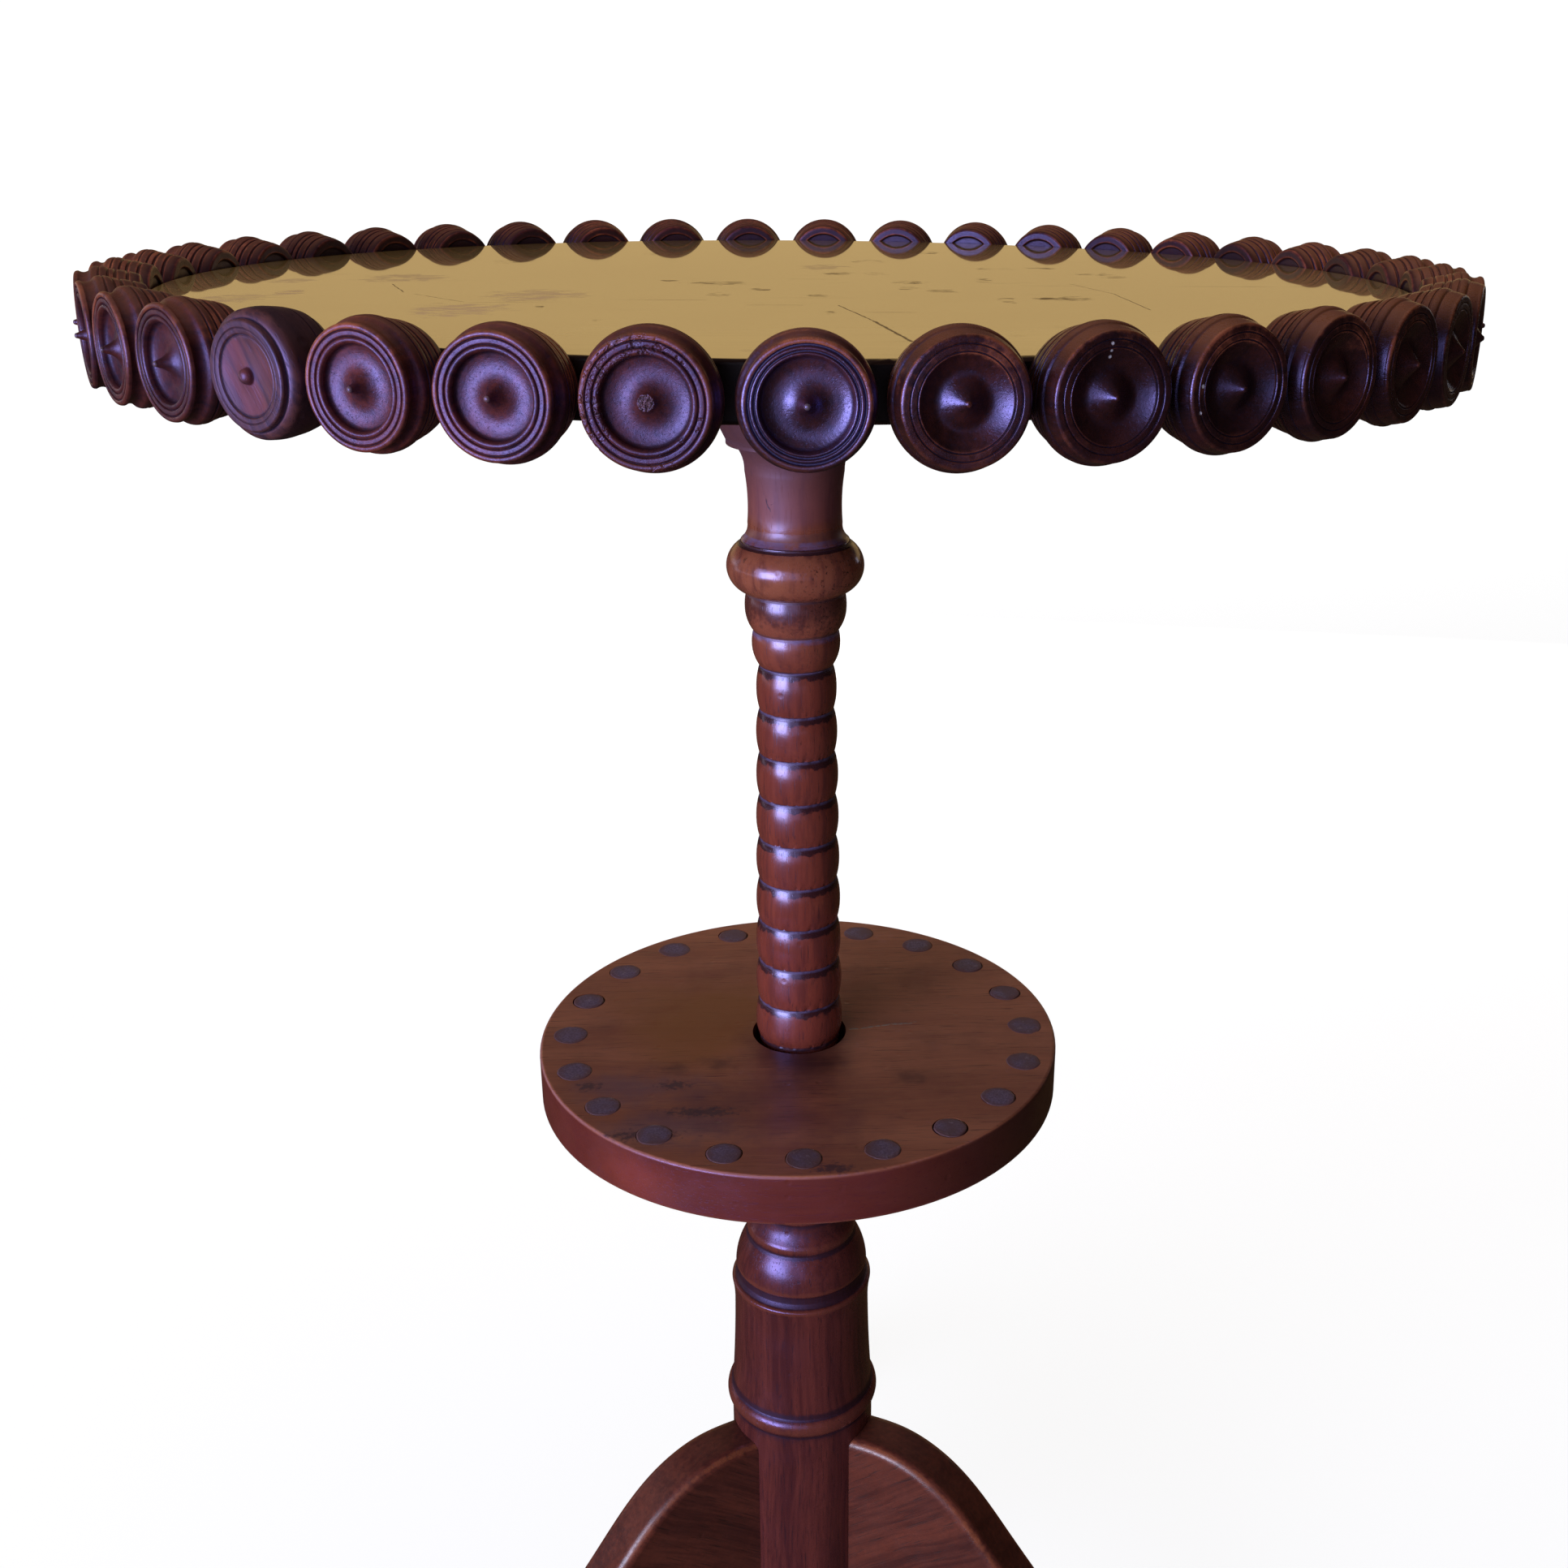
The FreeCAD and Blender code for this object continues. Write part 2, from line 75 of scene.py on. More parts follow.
def eased(points, reach):
    """The outline with its corners eased over a reach counted in points; both ends stay where they are."""
    bell = np.exp(-0.5 * (np.arange(-3 * reach, 3 * reach + 1) / reach) ** 2)
    before = 2 * points[0] - points[3 * reach:0:-1]
    after = 2 * points[-1] - points[-2:-3 * reach - 2:-1]
    return np.convolve(np.concatenate([before, points, after]), bell / bell.sum(), "valid")


def standing_out(points, reach, height):
    """How far each point stands out of the eased outline: towards 1 on an arris, towards -1 in a groove."""
    along = np.gradient(points)
    outward = -1j * along / np.maximum(abs(along), 1e-9)
    lift = ((points - eased(points, reach)) * outward.conj()).real
    return np.clip(lift / height, -1, 1)


def worth_keeping(points, bend, stride):
    """Places along the outline where it has bent by an angle, or run on by a stride, since the place before."""
    along = np.gradient(points)
    kept = [0]
    for k in range(1, len(points) - 1):
        bent = abs(cmath.phase(along[k] * along[kept[-1]].conjugate()))
        if bent > bend or abs(points[k] - points[kept[-1]]) > stride:
            kept.append(k)
    return kept + [len(points) - 1]


def turned_mesh(name, points, segments, stride, marks, carve=None):
    """Mesh of an outline turned about its upright axis, in metres. Marks are values along the outline that its points
    carry; carve moves the points, given in millimetres."""
    kept = worth_keeping(points, 0.06, stride)
    ring = points[kept]
    angle = 2 * math.pi * np.arange(segments) / segments
    places = np.empty((len(ring), segments, 3))
    places[..., 0] = ring.real[:, None] * np.cos(angle)
    places[..., 1] = ring.real[:, None] * np.sin(angle)
    places[..., 2] = ring.imag[:, None]
    if carve:
        places = carve(places)
    low = np.arange(len(ring) - 1)[:, None] * segments
    here, there = np.arange(segments), (np.arange(segments) + 1) % segments
    faces = np.stack([low + here, low + there, low + segments + there, low + segments + here], -1).reshape(-1, 4)
    mesh = bpy.data.meshes.new(name)
    mesh.from_pydata((places.reshape(-1, 3) / 1000).tolist(), [], faces.tolist())
    for label, values in marks.items():
        spread = np.repeat(values[kept], segments).astype(np.float32)
        mesh.attributes.new(label, "FLOAT", "POINT").data.foreach_set("value", spread)
    mesh.shade_smooth()
    return mesh


def shown_piece(name, mesh, slot, *nodes, place=Matrix.Identity(4)):
    """A new piece of the table that stands for the named solids and moves with them."""
    piece = bpy.data.objects.new(name, mesh)
    bpy.context.scene.collection.objects.link(piece)
    piece.matrix_world = place
    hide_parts(*nodes)
    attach(piece, "root")
    return piece


def tone(red, green, blue):
    """A colour given by its values on a screen, as a shader takes it."""
    shares = (red / 255, green / 255, blue / 255)
    return (*(v / 12.92 if v <= 0.04045 else ((v + 0.055) / 1.055) ** 2.4 for v in shares), 1.0)


def link(socket, target):
    socket.id_data.links.new(socket, target)


def beside(socket, kind, **settings):
    """A new shader node with its settings, in the same tree as a socket."""
    made = socket.id_data.nodes.new("ShaderNode" + kind)
    for label, value in settings.items():
        setattr(made, label, value)
    return made


def put(kind, given, **settings):
    """Adds a shader node and gives its outputs. What is given for its inputs is linked if it is a socket, and one of
    them has to be."""
    sockets = {key: value for key, value in given.items() if isinstance(value, bpy.types.NodeSocket)}
    made = beside(next(iter(sockets.values())), kind, **settings)
    for key, value in given.items():
        if key in sockets:
            link(value, made.inputs[key])
        else:
            made.inputs[key].default_value = value
    return made.outputs


def reckon(operation, first, second=0.0, third=0.0):
    return put("Math", {0: first, 1: second, 2: third}, operation=operation)[0]


def times(product, *factors):
    for factor in factors:
        product = reckon("MULTIPLY", product, factor)
    return product


def summed(base, *additions):
    """A base with other values added, each of them given with the share that is added."""
    for value, share in additions:
        base = reckon("MULTIPLY_ADD", value, share, base)
    return base


def vector(operation, first, second=(0, 0, 0), third=(0, 0, 0)):
    outputs = put("VectorMath", {0: first, 1: second, 2: third}, operation=operation)
    return outputs[1 if operation in ("LENGTH", "DISTANCE", "DOT_PRODUCT") else 0]


def rising(value, low, high, start=0.0, end=1.0):
    """Smooth step from start to end as the value goes from low to high."""
    sockets = {"Value": value, "From Min": low, "From Max": high, "To Min": start, "To Max": end}
    return put("MapRange", sockets, interpolation_type="SMOOTHSTEP")[0]


def laid_over(share, under, over):
    return put("Mix", {0: share, 6: under, 7: over}, data_type="RGBA")[2]


def coated(colour, *coats):
    """A colour under coats laid one on another; each is its mask, the share of it that covers, and its tone."""
    for mask, share, coat in coats:
        colour = laid_over(times(mask, share), colour, coat)
    return colour


def cloud(place, scale, detail=4.0, stretch=None, channel=0):
    """Noise over a place; stretch scales the place along each axis first."""
    if stretch:
        place = put("Mapping", {"Vector": place, "Scale": stretch})[0]
    return put("TexNoise", {"Vector": place, "Scale": scale, "Detail": detail, "Roughness": 0.58})[channel]


def tatter(place, scale, detail):
    """Noise that swings about nought."""
    return reckon("SUBTRACT", cloud(place, scale, detail), 0.5)


def effect(name, inputs, outputs):
    """A shader node group with named sockets: the group, what it is given and what it puts out."""
    group = bpy.data.node_groups.new(name, "ShaderNodeTree")
    for label, kind in inputs:
        group.interface.new_socket(label, in_out="INPUT", socket_type="NodeSocket" + kind)
    for label, kind in outputs:
        group.interface.new_socket(label, in_out="OUTPUT", socket_type="NodeSocket" + kind)
    return group, group.nodes.new("NodeGroupInput").outputs, group.nodes.new("NodeGroupOutput").inputs


# Mahogany grain runs along the third axis of its place: broad ribbons, fine streaks and short open pores.
mahogany_grain, given, result = effect(
    "mahogany_grain",
    [("Place", "Vector"), ("Pale", "Color"), ("Deep", "Color"), ("Ribbon", "Float")],
    [("Color", "Color"), ("Pores", "Float"), ("Height", "Float")],
)
sway = vector("SUBTRACT", cloud(given["Place"], 9, 2, channel=1), (0.5, 0.5, 0.5))
bent = vector("MULTIPLY_ADD", sway, (0.02, 0.02, 0.02), given["Place"])
ribbons = cloud(bent, 1, 3, (55, 55, 1.8))
streaks = cloud(bent, 1, 4, (420, 420, 9))
pores = rising(cloud(given["Place"], 1, 2, (1500, 1500, 60)), 0.58, 0.70)
mixed = put("Mix", {0: given["Ribbon"], 2: streaks, 3: ribbons})[0]
wood = laid_over(rising(mixed, 0.33, 0.66), given["Deep"], given["Pale"])
wood = coated(wood, (pores, 0.55, tone(28, 14, 10)))
height = summed(times(streaks, 0.5), (pores, -1.0))
for label, socket in (("Color", wood), ("Pores", pores), ("Height", height)):
    link(socket, result[label])

# Years of handling rub the arrises back to bare pale wood and leave dark wax and dirt in the grooves.
handling, given, result = effect(
    "years_of_handling",
    [("Color", "Color"), ("Place", "Vector"), ("Lift", "Float"), ("Rubbed", "Color"), ("Dirt", "Color"),
     ("Rubbing", "Float"), ("Dirtiness", "Float")],
    [("Color", "Color"), ("Rubbed share", "Float"), ("Dirt share", "Float")],
)
speckle = tatter(given["Place"], 420, 5)
broken = summed(given["Lift"], (speckle, 0.9), (tatter(given["Place"], 55, 3), 1.3))
rubbed = times(rising(broken, 0.16, 0.75), given["Rubbing"])
sunk = summed(times(given["Lift"], -1.0), (speckle, 0.5))
dirt = times(rising(sunk, 0.06, 0.55), given["Dirtiness"])
worn = laid_over(rubbed, given["Color"], given["Rubbed"])
worn = laid_over(dirt, worn, given["Dirt"])
for label, socket in (("Color", worn), ("Rubbed share", rubbed), ("Dirt share", dirt)):
    link(socket, result[label])

# Small knocks are shallow round dents, scattered with a given spacing.
small_knocks, given, result = effect(
    "small_knocks", [("Place", "Vector"), ("Per metre", "Float"), ("Share", "Float")], [("Dents", "Float")]
)
cells = put("TexVoronoi", {"Vector": given["Place"], "Scale": given["Per metre"], "Randomness": 1.0})
chosen = reckon("LESS_THAN", put("SeparateColor", {0: cells["Color"]})[0], given["Share"])
dents = times(rising(cells["Distance"], 0.05, 0.24, 1.0, 0.0), chosen)
link(dents, result["Dents"])


def new_shader(name):
    """A material and its shader's inputs."""
    finish = bpy.data.materials.new(name)
    finish.use_nodes = True
    return finish, finish.node_tree.nodes["Principled BSDF"].inputs


def new_finish(name):
    """The same for a piece of the table, with a place on the piece in the piece's own axes."""
    finish, shader = new_shader(name)
    return finish, shader, beside(shader["Normal"], "TexCoord").outputs["Object"]


def carried(place, mark):
    """A value that the mesh's points carry to a place."""
    return beside(place, "Attribute", attribute_name=mark).outputs["Fac"]


def waxed_mahogany(
    place, grain_place, lift, pale, deep, rubbed, dirt, gloss, ribbon=0.5, rubbing=0.8, dirtiness=0.9,
):
    """Colour, roughness and height of old waxed mahogany, with its grain, its rubbed arrises, dirt and dents."""
    grain = put("Group", {
        "Place": grain_place, "Pale": pale, "Deep": deep, "Ribbon": ribbon,
    }, node_tree=mahogany_grain)
    used = put("Group", {
        "Color": grain["Color"], "Place": place, "Lift": lift, "Rubbed": rubbed, "Dirt": dirt,
        "Rubbing": rubbing, "Dirtiness": dirtiness,
    }, node_tree=handling)
    dents = put("Group", {"Place": place, "Per metre": 130.0, "Share": 0.22}, node_tree=small_knocks)[0]
    roughness = summed(
        gloss - 0.13, (cloud(place, 70, 5), 0.26), (used["Dirt share"], 0.25),
        (used["Rubbed share"], -0.10), (grain["Pores"], 0.12),
    )
    height = summed(times(dents, -1.0), (grain["Height"], 0.25), (cloud(place, 160, 4), 0.7))
    return used["Color"], roughness, height


def settle(shader, colour, roughness, height, depth):
    """Links a surface to its shader; depth is what a height of one stands for, in metres."""
    link(colour, shader["Base Color"])
    link(roughness, shader["Roughness"])
    link(put("Bump", {"Height": height, "Distance": depth, "Strength": 1.0})[0], shader["Normal"])


def polished(shader, level, bloom=(0.50, 0.44, 1.0, 1.0), index=1.5):
    """How strongly a polish mirrors, the bloom on what it mirrors, and its refractive index."""
    shader["Specular IOR Level"].default_value = level
    shader["Specular Tint"].default_value = bloom
    shader["IOR"].default_value = index


lower_outline = eased(turner_outline(lower_column_steps, 0.25), 2)
lower_mesh = turned_mesh(
    "lower_column_turned", lower_outline, 144, 4.0, {"lift": standing_out(lower_outline, 6, 0.28)}
)
finish, shader, place = new_finish("lower_column_mahogany")
settle(shader, *waxed_mahogany(
    place, place, carried(place, "lift"),
    pale=tone(104, 48, 40), deep=tone(72, 31, 30), rubbed=tone(120, 62, 46), dirt=tone(30, 15, 20), gloss=0.26,
    rubbing=0.5, dirtiness=0.75,
), 0.00012)
polished(shader, 0.9)
lower_mesh.materials.append(finish)
shown_piece("lower_column_turned", lower_mesh, "lower_column_wood", "lower_column")

# Legs.
# Three swept legs sawn from mahogany board with the grain along them, their arrises rounded over, each slid up the
# foot on a dovetail. Waxed like the column, scuffed pale along the arrises and dull near the floor.


def millimetres(place):
    """A place's three measures in millimetres, like the outlines."""
    return put("SeparateXYZ", {0: vector("MULTIPLY", place, (1000, 1000, 1000))})


leg_slope = math.radians(50)
scuff_foot, scuff_top = 4, 45
for number, bearing in ((1, 90), (2, 210), (3, 330)):
    finish, shader, place = new_finish("leg_%d_mahogany" % number)
    turn = math.radians(bearing)
    facing = put("Mapping", {"Vector": place, "Rotation": (0, 0, -turn)})[0]
    along_leg = put("Mapping", {"Vector": facing, "Rotation": (0, -leg_slope, 0)})[0]
    flank = vector(
        "DOT_PRODUCT", beside(place, "NewGeometry").outputs["Normal"], (-math.sin(turn), math.cos(turn), 0)
    )
    flank = times(flank, flank)
    arris = times(reckon("SUBTRACT", 1.0, flank), flank)
    colour, roughness, height = waxed_mahogany(
        place, along_leg, summed(-0.35, (arris, 3.6)),
        pale=tone(116, 57, 42), deep=tone(78, 35, 29), rubbed=tone(152, 84, 54), dirt=tone(30, 17, 15), gloss=0.32,
        rubbing=0.6, dirtiness=0.35,
    )
    near_floor = rising(millimetres(place)["Z"], scuff_foot, scuff_top, 1.0, 0.0)
    colour = coated(colour, (near_floor, rising(cloud(place, 120, 5), 0.40, 0.62), tone(122, 92, 74)))
    settle(shader, colour, summed(roughness, (near_floor, 0.25)), height, 0.00012)
    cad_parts["leg_%d" % number].data.materials[0] = finish

# Iron plate and screws.
# A hand-forged plate with an arm under each leg ties the legs to the foot; it and all the countersunk wood screws are
# blackened iron with a bloom of rust.

finish, shader, place = new_finish("blackened_iron")
rust = rising(cloud(place, 90, 6), 0.48, 0.66)
scale_marks = cloud(place, 700, 4)
colour = laid_over(scale_marks, tone(38, 36, 36), tone(74, 70, 68))
colour = laid_over(rust, colour, tone(96, 54, 34))
link(summed(0.9, (rust, -0.75)), shader["Metallic"])
settle(shader, colour, summed(0.45, (rust, 0.35)), summed(scale_marks, (rust, 0.6)), 0.0002)
for node in ("spider_plate", "spider_screws", "shelf_screws", "block_screws"):
    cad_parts[node].data.materials[0] = finish

# Shelf.
# A round mahogany board with eased edges, bored loosely for the column and screwed down on the lower column's flange.
# Its polish is stained and smeared on top, and worn through along the upper edge.

worn_spot, given, result = effect(
    "worn_spot", [("Place", "Vector"), ("Centre", "Vector"), ("Reach", "Vector")], [("Nearness", "Float")]
)
away = vector("DIVIDE", vector("SUBTRACT", given["Place"], given["Centre"]), given["Reach"])
link(reckon("SUBTRACT", 1.0, vector("LENGTH", away)), result["Nearness"])

hairline, given, result = effect(
    "hairline",
    [("Place", "Vector"), ("From", "Vector"), ("To", "Vector"), ("Width", "Float"), ("Wander", "Float")],
    [("Mask", "Float")],
)
sway = vector("SUBTRACT", cloud(given["Place"], 170, 4, channel=1), (0.5, 0.5, 0.5))
sway = put("VectorMath", {0: sway, "Scale": given["Wander"]}, operation="SCALE")[0]
swayed = vector("ADD", given["Place"], sway)
run = vector("SUBTRACT", given["To"], given["From"])
reached = vector("DOT_PRODUCT", vector("SUBTRACT", swayed, given["From"]), run)
run_squared = vector("DOT_PRODUCT", run, run)
share = put("Math", {0: reached, 1: run_squared}, operation="DIVIDE", use_clamp=True)[0]
nearest = vector("ADD", given["From"], put("VectorMath", {0: run, "Scale": share}, operation="SCALE")[0])
gap = reckon("DIVIDE", vector("DISTANCE", swayed, nearest), given["Width"])
link(rising(gap, 0.3, 1.0, 1.0, 0.0), result["Mask"])


def spots(place, level, marks, ragged=0.9, per_metre=90.0, soft=0.45):
    """Mask of ragged worn spots about a level; each is a centre and half its width and depth, in millimetres."""
    half_height = 20
    nearness = -1.0
    for (x, y), (wide, deep) in marks:
        near = put("Group", {
            "Place": place, "Centre": Vector((x, y, level)) / 1000, "Reach": Vector((wide, deep, half_height)) / 1000,
        }, node_tree=worn_spot)[0]
        nearness = reckon("MAXIMUM", near, nearness)
    return rising(summed(nearness, (tatter(place, per_metre, 6), ragged * 2)), 0.0, soft)


def line(place, start, end, width, wander=0.004):
    """Mask of a hairline between two points; points and width are in millimetres."""
    return put("Group", {
        "Place": place, "From": Vector(start) / 1000, "To": Vector(end) / 1000, "Width": width / 1000, "Wander": wander,
    }, node_tree=hairline)[0]


def off_axis(place):
    """Distance from the piece's own upright axis, in millimetres."""
    return vector("LENGTH", vector("MULTIPLY", place, (1000, 1000, 0)))


shelf_radius = 125.0
shelf_foot, shelf_top = 361.9, 386.4
finish, shader, place = new_finish("shelf_mahogany")
grain_place = put("Mapping", {"Vector": place, "Rotation": (0, math.radians(90), math.radians(12))})[0]
part = millimetres(place)
rim = rising(off_axis(place), shelf_radius - 1.4, shelf_radius - 0.2)
# The upper arris is rubbed pale most on the left and least on the right: wear, and partly a painted highlight on the
# side the light comes from.
wear_and_painted_light_side = rising(part["X"], -10, 90, 1.0, 0.15)
upper_arris = times(rim, wear_and_painted_light_side, rising(part["Z"], shelf_top - 1.8, shelf_top - 0.2))
lower_arris = times(rim, rising(part["Z"], shelf_foot + 0.1, shelf_foot + 2.1, 0.5, 0.0))
lift = reckon("MAXIMUM", upper_arris, lower_arris)
colour, roughness, height = waxed_mahogany(
    place, grain_place, lift,
    pale=tone(188, 114, 80), deep=tone(160, 91, 63), rubbed=tone(176, 118, 120), dirt=tone(40, 22, 18), gloss=0.36,
    ribbon=0.7, rubbing=0.6,
)
on_top = rising(part["Z"], shelf_top - 0.9, shelf_top - 0.2)
on_edge = reckon("SUBTRACT", 1.0, on_top)
edge_red = laid_over(cloud(place, 1, 4, (40, 40, 300)), tone(98, 31, 25), tone(78, 24, 22))
orange = spots(place, 372, [((-74, -100), (30, 30))], 0.5, 40, 0.9)
# Painted shade: the edge's red is darkened towards the right, away from the light. The orange patch on its left front
# is a stain.
edge_red = coated(
    edge_red, (orange, 0.5, tone(140, 52, 26)), (rising(part["X"], 20, 100), 0.65, tone(44, 18, 14)),
)
colour = coated(colour, (on_edge, summed(0.9, (lift, -0.8)), edge_red))
smudges = times(rising(cloud(place, 26, 6), 0.44, 0.72), 0.5)
scratch = times(
    line(place, (25, 0, shelf_top), (58, 6, shelf_top), 1.1),
    rising(cloud(place, 380, 4), 0.36, 0.56),
)
fine_scratches = rising(cloud(place, 1, 2, (35, 900, 1)), 0.66, 0.74)
ochre_stain = spots(place, shelf_top, [((-46, 14), (62, 54))], 0.6, 30, 0.8)
grey_smears = spots(place, shelf_top, [((-76, -52), (46, 22)), ((-56, -84), (44, 22))], 0.9, 60, 1.0)
red_smears = spots(place, shelf_top, [((-30, -66), (50, 22)), ((-8, -84), (60, 26))], 0.9, 60, 1.0)
brown_marks = spots(
    place, shelf_top, [((-38, -30), (16, 9)), ((-62, -34), (12, 7)), ((52, -46), (13, 8))], 1.2, 110, 1.1,
)
# Painted reflection: a dark red patch on the shelf top in front of the column stands in for the column's mirror image.
painted_column_reflection = spots(place, shelf_top, [((2, -12), (36, 62))], 0.4, 50, 0.9)
ink_marks = spots(place, shelf_top, [
    ((-58, -48), (9, 5)), ((-98, -48), (8, 5)), ((-46, -72), (20, 5)), ((12, -119), (12, 5)), ((-70, -90), (22, 6)),
], 1.5, 420, 0.8)
for mask, share, stain in (
    (smudges, 0.9, tone(126, 72, 52)), (ochre_stain, 0.8, tone(158, 94, 42)), (grey_smears, 0.6, tone(112, 82, 94)),
    (red_smears, 0.5, tone(110, 58, 56)), (brown_marks, 0.6, tone(84, 48, 36)), (painted_column_reflection, 0.9, tone(50, 25, 27)),
    (ink_marks, 0.7, tone(52, 40, 54)), (scratch, 1.0, tone(150, 132, 122)), (fine_scratches, 0.4, tone(132, 92, 66)),
):
    colour = coated(colour, (times(mask, on_top), share, stain))
height = summed(height, (times(scratch, on_top), -1.0))
settle(shader, colour, summed(roughness, (smudges, 0.2)), height, 0.00012)
polished(shader, 0.7)
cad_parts["shelf"].data.materials[0] = finish

# Shelf plugs.
# Twenty round plugs of grey end grain let into the shelf near its edge, cleaned off by hand, so that each is a little
# out of round and stands slightly proud.

plug_count = 20
plug_ring_radius = 111.0
plug_radius = 8.0
plug_steps = (0.0, 0.35, 0.68, 0.9, 0.985, 1.0)
plug_crown = (1.0, 0.96, 0.8, 0.5, 0.2, -6.0)
plug_sides = 40
out_of_round, lumpiness = 0.07, 0.08
chance = random.Random(7)
plug_places, plug_faces = [], []
for plug in range(plug_count):
    turn = 2 * math.pi * plug / plug_count - math.pi / 2
    centre = Vector((plug_ring_radius * math.cos(turn), plug_ring_radius * math.sin(turn), shelf_top))
    size = plug_radius * chance.uniform(0.93, 1.06)
    proud = chance.uniform(0.05, 0.22)
    seed = Vector((chance.uniform(0, 90), chance.uniform(0, 90), 0))
    first = len(plug_places)
    for share, crown in zip(plug_steps, plug_crown):
        for side in range(plug_sides):
            spoke = Vector((math.cos(2 * math.pi * side / plug_sides), math.sin(2 * math.pi * side / plug_sides), 0))
            reach = size * share * (1 + out_of_round * noise.fractal(seed + spoke * 1.3, 1.0, 2.0, 3))
            lumps = lumpiness * noise.noise(seed + spoke * share * 2.5)
            plug_places.append((centre + spoke * reach + Vector((0, 0, proud * crown + lumps))) / 1000)
    for row in range(len(plug_steps) - 1):
        for side in range(plug_sides):
            here, there = first + row * plug_sides + side, first + row * plug_sides + (side + 1) % plug_sides
            plug_faces.append((here, here + plug_sides, there + plug_sides, there))
plug_mesh = bpy.data.meshes.new("shelf_plugs_worn")
plug_mesh.from_pydata(plug_places, [], plug_faces)
outwards = np.tile(np.repeat(plug_steps, plug_sides), plug_count).astype(np.float32)
plug_mesh.attributes.new("outwards", "FLOAT", "POINT").data.foreach_set("value", outwards)
plug_mesh.shade_smooth()
finish, shader, place = new_finish("grey_end_grain")
speckle = cloud(place, 900, 5)
bare = rising(cloud(place, 240, 5), 0.60, 0.72)
smeared = rising(summed(carried(place, "outwards"), (tatter(place, 260, 5), 0.9)), 0.55, 1.05)
colour = laid_over(rising(speckle, 0.3, 0.7), tone(96, 74, 92), tone(130, 106, 130))
colour = coated(
    colour, (rising(cloud(place, 60, 3), 0.42, 0.66), 1.0, tone(108, 78, 84)),
    (bare, 0.5, tone(150, 130, 146)), (smeared, 0.8, tone(112, 70, 66)),
)
settle(shader, colour, summed(0.45, (speckle, 0.3)), reckon("ADD", speckle, bare), 0.00015)
plug_mesh.materials.append(finish)
shown_piece("shelf_plugs_worn", plug_mesh, "plug_wood", "shelf_plugs")

# Upper column.
# One turning of red mahogany: capital, flared neck, collar, two beads and nine rings, tenoned through the shelf into
# the lower column. The old dark stain is left in each ring's groove and the rings are nicked along their lower edges.

ring_count = 9
ring_height = 20.9
ring_groove = 1.2
lowest_ring, highest_ring = 20.8, 18.2
rings_top, bead_foot, collar_foot, collar_top, neck_foot = 574.5, 590.2, 608.0, 630.3, 631.6
ring_radii = np.linspace(lowest_ring, highest_ring, ring_count).tolist()
upper_column_steps = [(0, 317.9), (13, 317.9), (13, 361.9), (19.2, 361.9), (19.2, shelf_top)]
for ring, radius in enumerate(ring_radii):
    low = shelf_top + ring * ring_height
    above = ring_radii[min(ring + 1, ring_count - 1)] - ring_groove
    upper_column_steps += [
        (radius - 0.28, low + 4.6, radius, low + 9.6), (radius - 0.33, low + 14.8, radius - 1.25, low + 19.2),
        (radius - 1.65, low + 20.1), (above - 0.35, low + 20.5), (above, low + ring_height),
    ]
upper_column_steps += [
    (17, 574.7), (18.9, 578.6, 19.8, 583.2), (19.75, 586.6, 19.25, 589.6), (19, bead_foot), (21.5, 594.6, 22.6, 600),
    (22.55, 604, 22, 607.4), (21.7, collar_foot), (30.4, 619.6, 23.9, collar_top), (24.1, 630.6), (24, 631.1),
    (23.6, neck_foot), (21.7, 633.9, 20.8, 638.6), (20.5, 648, 21.7, 661.3), (23.1, 668.5, 26, 673), (29.5, 673),
    (29.5, 674.9), (30.4, 676.7), (33.5, 683.1, 36, 688.4), (36, 698.4), (35, 699.5), (18, 699.5), (18, 721.4),
    (0, 721.4),
]


def nicked_rings(places):
    """Breaks small bites out of the rings' lower edges, and lets each ring run a hair out of true."""
    bite_height, bite_share = 3.2, 0.07
    angle = np.arctan2(places[..., 1], places[..., 0])
    height = places[..., 2]
    ring = np.clip((height - shelf_top) / ring_height, 0, ring_count - 0.01)
    low = (ring % 1.0) * ring_height
    in_rings = (height > shelf_top) & (height < rings_top)
    grow = np.ones_like(height)
    for row, column in np.argwhere(in_rings & (low < bite_height)):
        spot = Vector((angle[row, column] * 9, 3.7 * int(ring[row, column]), low[row, column] * 0.35))
        bite = noise.fractal(spot, 0.8, 2.1, 4) - 0.12
        fade = 1 - low[row, column] / bite_height
        grow[row, column] -= bite_share * max(0.0, bite) * fade
    sway = 0.0025 * np.sin(angle + np.floor(ring) * 2.4) + 0.0012 * np.sin(2 * angle + height * 0.05)
    grow += np.where(in_rings, sway, 0)
    places[..., :2] *= grow[..., None]
    return places


upper_outline = eased(turner_outline(upper_column_steps, 0.2), 1)
height = upper_outline.imag
below_ring_top = (rings_top - height) % ring_height
in_rings = (height > shelf_top) & (height < rings_top)
on_bead = (height > bead_foot + 0.2) & (height < collar_foot - 0.2)
under_neck = (height > collar_top - 0.9) & (height < neck_foot - 0.1)
stain = np.where(in_rings, 1 - below_ring_top / 7.6, 0)
stain += np.where(on_bead, (height - bead_foot - 0.3) / 16.5, 0) + np.where(under_neck, 0.9, 0)
on_ledge = in_rings & (below_ring_top < 0.9)
on_ledge |= (abs(height - neck_foot - 1.0) < 1.2) | (abs(height - bead_foot + 0.8) < 0.8)
upper_mesh = turned_mesh("upper_column_turned", upper_outline, 160, 2.2, {
    "lift": standing_out(upper_outline, 6, 0.22), "stain": np.clip(stain, 0, 1), "ledge": np.where(on_ledge, 1.0, 0.0),
}, nicked_rings)
finish, shader, place = new_finish("upper_column_mahogany")
